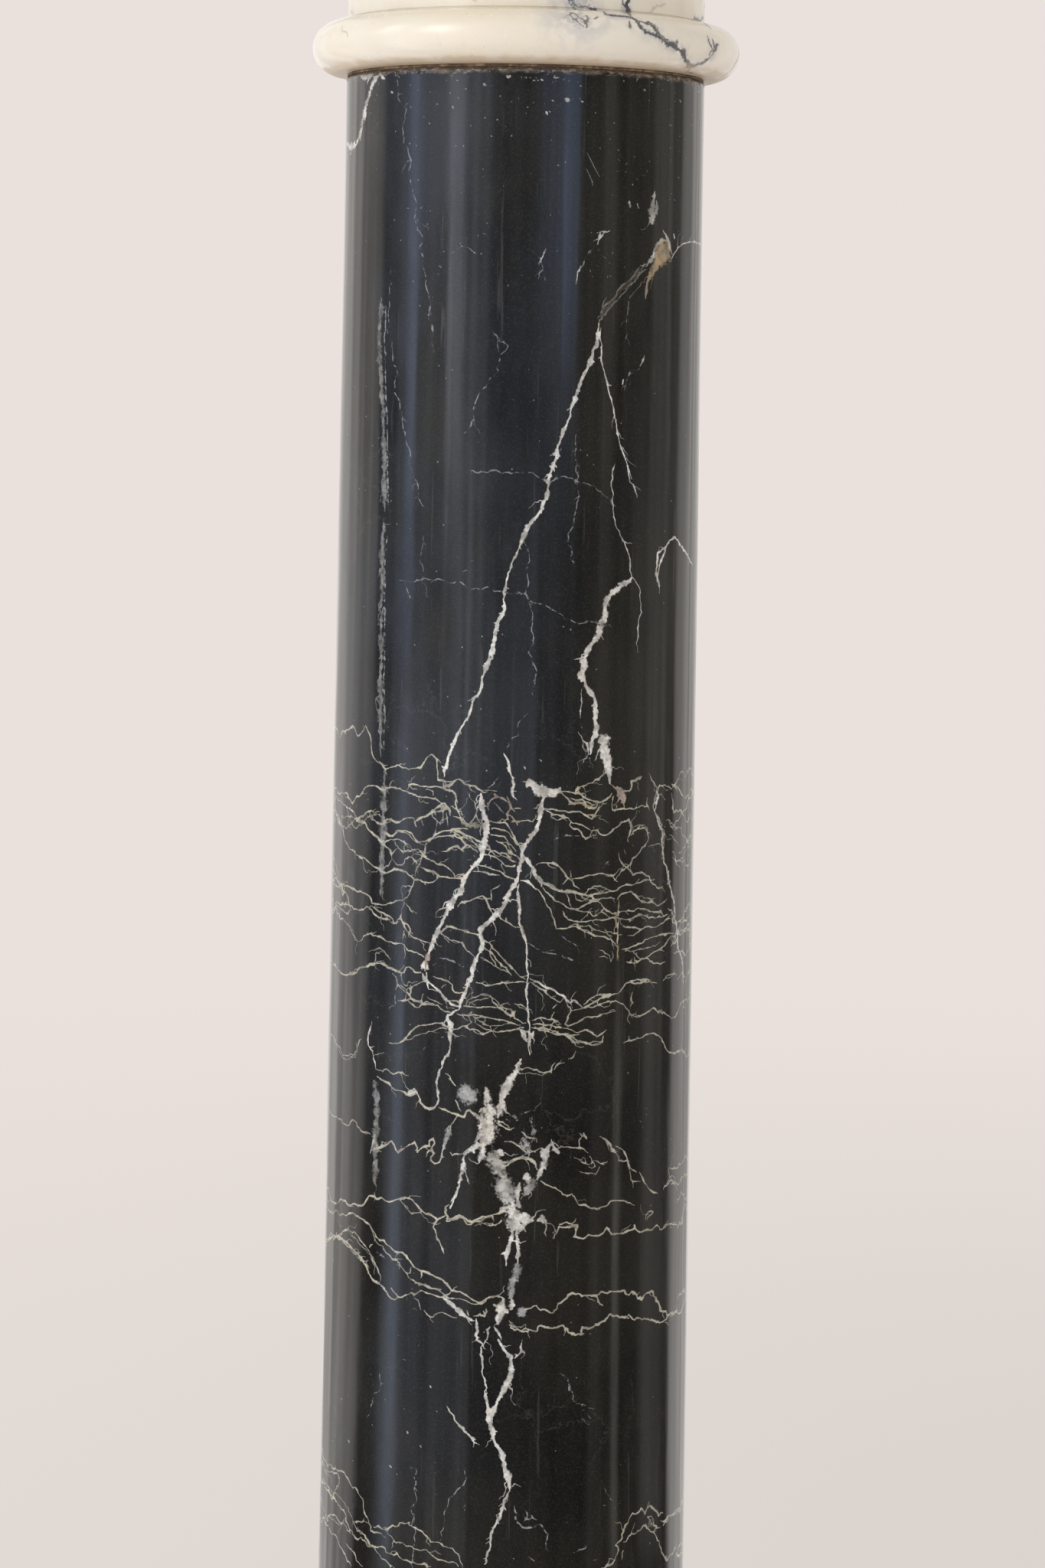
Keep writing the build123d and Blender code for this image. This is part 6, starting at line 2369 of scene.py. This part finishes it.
@dataclass
class Studio:
    """The pale floor and backdrop, the lights and the world."""

    backdrop: Colour = (0.823, 0.752, 0.724)
    floor_colour: Colour = (0.86, 0.79, 0.76)
    # Painted shade on the far floor, darker towards the column and on its right side.
    painted_floor_shade: Colour = (0.700, 0.652, 0.610)
    floor_radius: float = 9.0
    diffuse_level: float = 0.70
    diffuse: Colour = (1.0, 0.985, 0.96)
    aim: Colour = (0.0, 0.0, 0.8)
    lights: tuple[Softbox, ...] = (
        Softbox("window_left", -46.0, 1.5, 1.10, 0.80, 2.2, 12.6, (0.99, 0.99, 1.0)),
        Softbox("wall_right", 72.0, 2.0, 1.10, 0.60, 1.8, 4.2, (1.0, 0.97, 0.93)),
    )

    def world(self, room: bpy.types.NodeTree) -> None:
        """Makes the world: the backdrop to the camera, even light to matt faces, the room to gloss."""
        world = bpy.data.worlds.new("studio_world")
        bpy.context.scene.world = world
        world.use_nodes = True
        sheet = Sheet(world.node_tree)
        path = sheet.add("LightPath").outputs
        way = sheet.add("TexCoord").outputs["Generated"]
        seen = sheet.add("Background", {"Color": shade(self.backdrop), "Strength": 1.0})
        even = sheet.add("Background", {"Color": shade(self.diffuse), "Strength": self.diffuse_level})
        view = sheet.add("Group", {"Direction": way}, node_tree=room).outputs["Colour"]
        gloss = sheet.add("Background", {"Color": view, "Strength": 1.0})
        lit = sheet.add("MixShader", {0: path["Is Glossy Ray"], 1: even.outputs[0], 2: gloss.outputs[0]})
        plain = sheet.math("MAXIMUM", path["Is Camera Ray"], path["Is Transmission Ray"])
        whole = sheet.add("MixShader", {0: plain, 1: lit.outputs[0], 2: seen.outputs[0]})
        output = sheet.add("OutputWorld")
        sheet.feed(output.inputs["Surface"], whole.outputs[0])

    def floor_finish(self, room: bpy.types.NodeTree) -> bpy.types.Material:
        """Returns the floor's material, which melts into the backdrop away from the column, with painted
        shade that darkens it towards the column and on its right side.
        """
        material = bpy.data.materials.new("pale_floor")
        material.use_nodes = True
        sheet = Sheet(material.node_tree)
        place = sheet.add("TexCoord").outputs["Object"]
        away = sheet.add("VectorMath", {0: place}, operation="LENGTH").outputs["Value"]
        far = sheet.between(away, 0.24, 0.60)
        matt = sheet.add("BsdfDiffuse", {"Color": shade(self.floor_colour)})
        # Painted shade: to the camera, the far floor is darker towards the column and on its right side.
        across = sheet.add("SeparateXYZ", {"Vector": place}).outputs["X"]
        side = sheet.math("MULTIPLY_ADD", sheet.between(across, -0.6, 0.6), 0.5, 0.5)
        close = sheet.math("MULTIPLY", sheet.between(away, 3.2, 0.5), side)
        sight = sheet.mix(close, self.backdrop, self.painted_floor_shade)
        seen = sheet.add("Emission", {"Color": sight, "Strength": 1.0})
        aim = sheet.add("VectorMath", {0: place, 1: (0.0, 0.0, -0.6)}, operation="ADD").outputs["Vector"]
        aim = sheet.add("VectorMath", {0: aim}, operation="NORMALIZE").outputs["Vector"]
        view = sheet.add("Group", {"Direction": aim}, node_tree=room).outputs["Colour"]
        gloss = sheet.add("Emission", {"Color": view, "Strength": 1.0})
        path = sheet.add("LightPath").outputs
        plain = sheet.math("MAXIMUM", path["Is Camera Ray"], path["Is Transmission Ray"])
        fade = sheet.math("MULTIPLY", plain, far)
        shown = sheet.add("MixShader", {0: fade, 1: matt.outputs[0], 2: seen.outputs[0]})
        whole = sheet.add("MixShader", {0: path["Is Glossy Ray"], 1: shown.outputs[0], 2: gloss.outputs[0]})
        output = sheet.add("OutputMaterial")
        sheet.feed(output.inputs["Surface"], whole.outputs[0])
        return material

    def build(self) -> None:
        """Makes the floor, the lights and the world."""
        room = Room().group()
        bpy.ops.object.select_all(action="DESELECT")
        bpy.ops.mesh.primitive_circle_add(vertices=96, radius=self.floor_radius, fill_type="NGON")
        floor = bpy.context.active_object
        floor.name = "studio_floor"
        floor.data.materials.append(self.floor_finish(room))
        for light in self.lights:
            light.build(Vector(self.aim))
        self.world(room)
        bpy.context.scene.view_settings.view_transform = "Standard"


class Column:
    """The whole column: its stones, its joints and its iron."""

    # Dirt and painted shade on the collar: under the bead painted shade with warm bounce light, then darker
    # bands in the quirk, where the annulets meet the echinus, and where the abacus sits on top.
    COLLAR_DIRT_AND_SHADE = (
        DirtAndShadeBand(0.9152, 0.0085, 0.0925, 0.55),
        DirtAndShadeBand(0.9398, 0.0013, 0.0835, 0.22),
        DirtAndShadeBand(0.9786, 0.0020, 0.0900, 0.40),
        DirtAndShadeBand(1.0032, 0.0022, 0.1060, 0.50),
    )
    SLAB_DIRT_AND_SHADE = (
        # Dirt and painted shade at the slabs' joints, and painted contact shade where the base meets the
        # floor.
        DirtAndShadeBand(0.0706, 0.0050, 0.1080, 0.55),
        DirtAndShadeBand(0.1072, 0.0022, 0.1090, 0.45),
        DirtAndShadeBand(0.1338, 0.0030, 0.0900, 0.60),
        DirtAndShadeBand(1.0032, 0.0040, 0.1060, 0.50),
        DirtAndShadeBand(0.0000, 0.0120, 1.0000, 0.40),
    )

    def __init__(self) -> None:
        """Makes the finishes."""
        effects = Effects()
        cream = CreamMarble()
        self.black = BlackMarble().make(effects)
        self.veined = cream.make(effects, True, self.COLLAR_DIRT_AND_SHADE)
        self.plain = cream.make(effects, False, self.SLAB_DIRT_AND_SHADE)
        self.mastic = Mastic().make()
        self.iron = Iron().make()

    def repaint(self) -> None:
        """Gives each CAD node that stays in sight or inside its finish."""
        finishes = {
            "cream_marble": self.plain,
            "black_marble": self.black,
            "mastic": self.mastic,
            "iron": self.iron,
        }
        for row in frame["record"]["subparts"]:
            node = frame["nodes"][row["node"]]
            for slot in node.material_slots:
                slot.material = finishes[row["material_slot"]]
            LOG.info("%s takes the finish %s", row["node"], row["material_slot"])

    def build(self, camera: PhotoCamera) -> None:
        """Makes every piece of the column."""
        self.repaint()
        Shaft().build(camera, self.black)
        Capital().build(camera, self.veined)
        Bedding().build(self.mastic)


def main() -> None:
    """Builds the scene in order."""
    logging.basicConfig(level=logging.INFO, format="%(name)s: %(message)s")
    camera = PhotoCamera()
    camera.build()
    Column().build(camera)
    Studio().build()


if __name__ == "__main__":
    main()
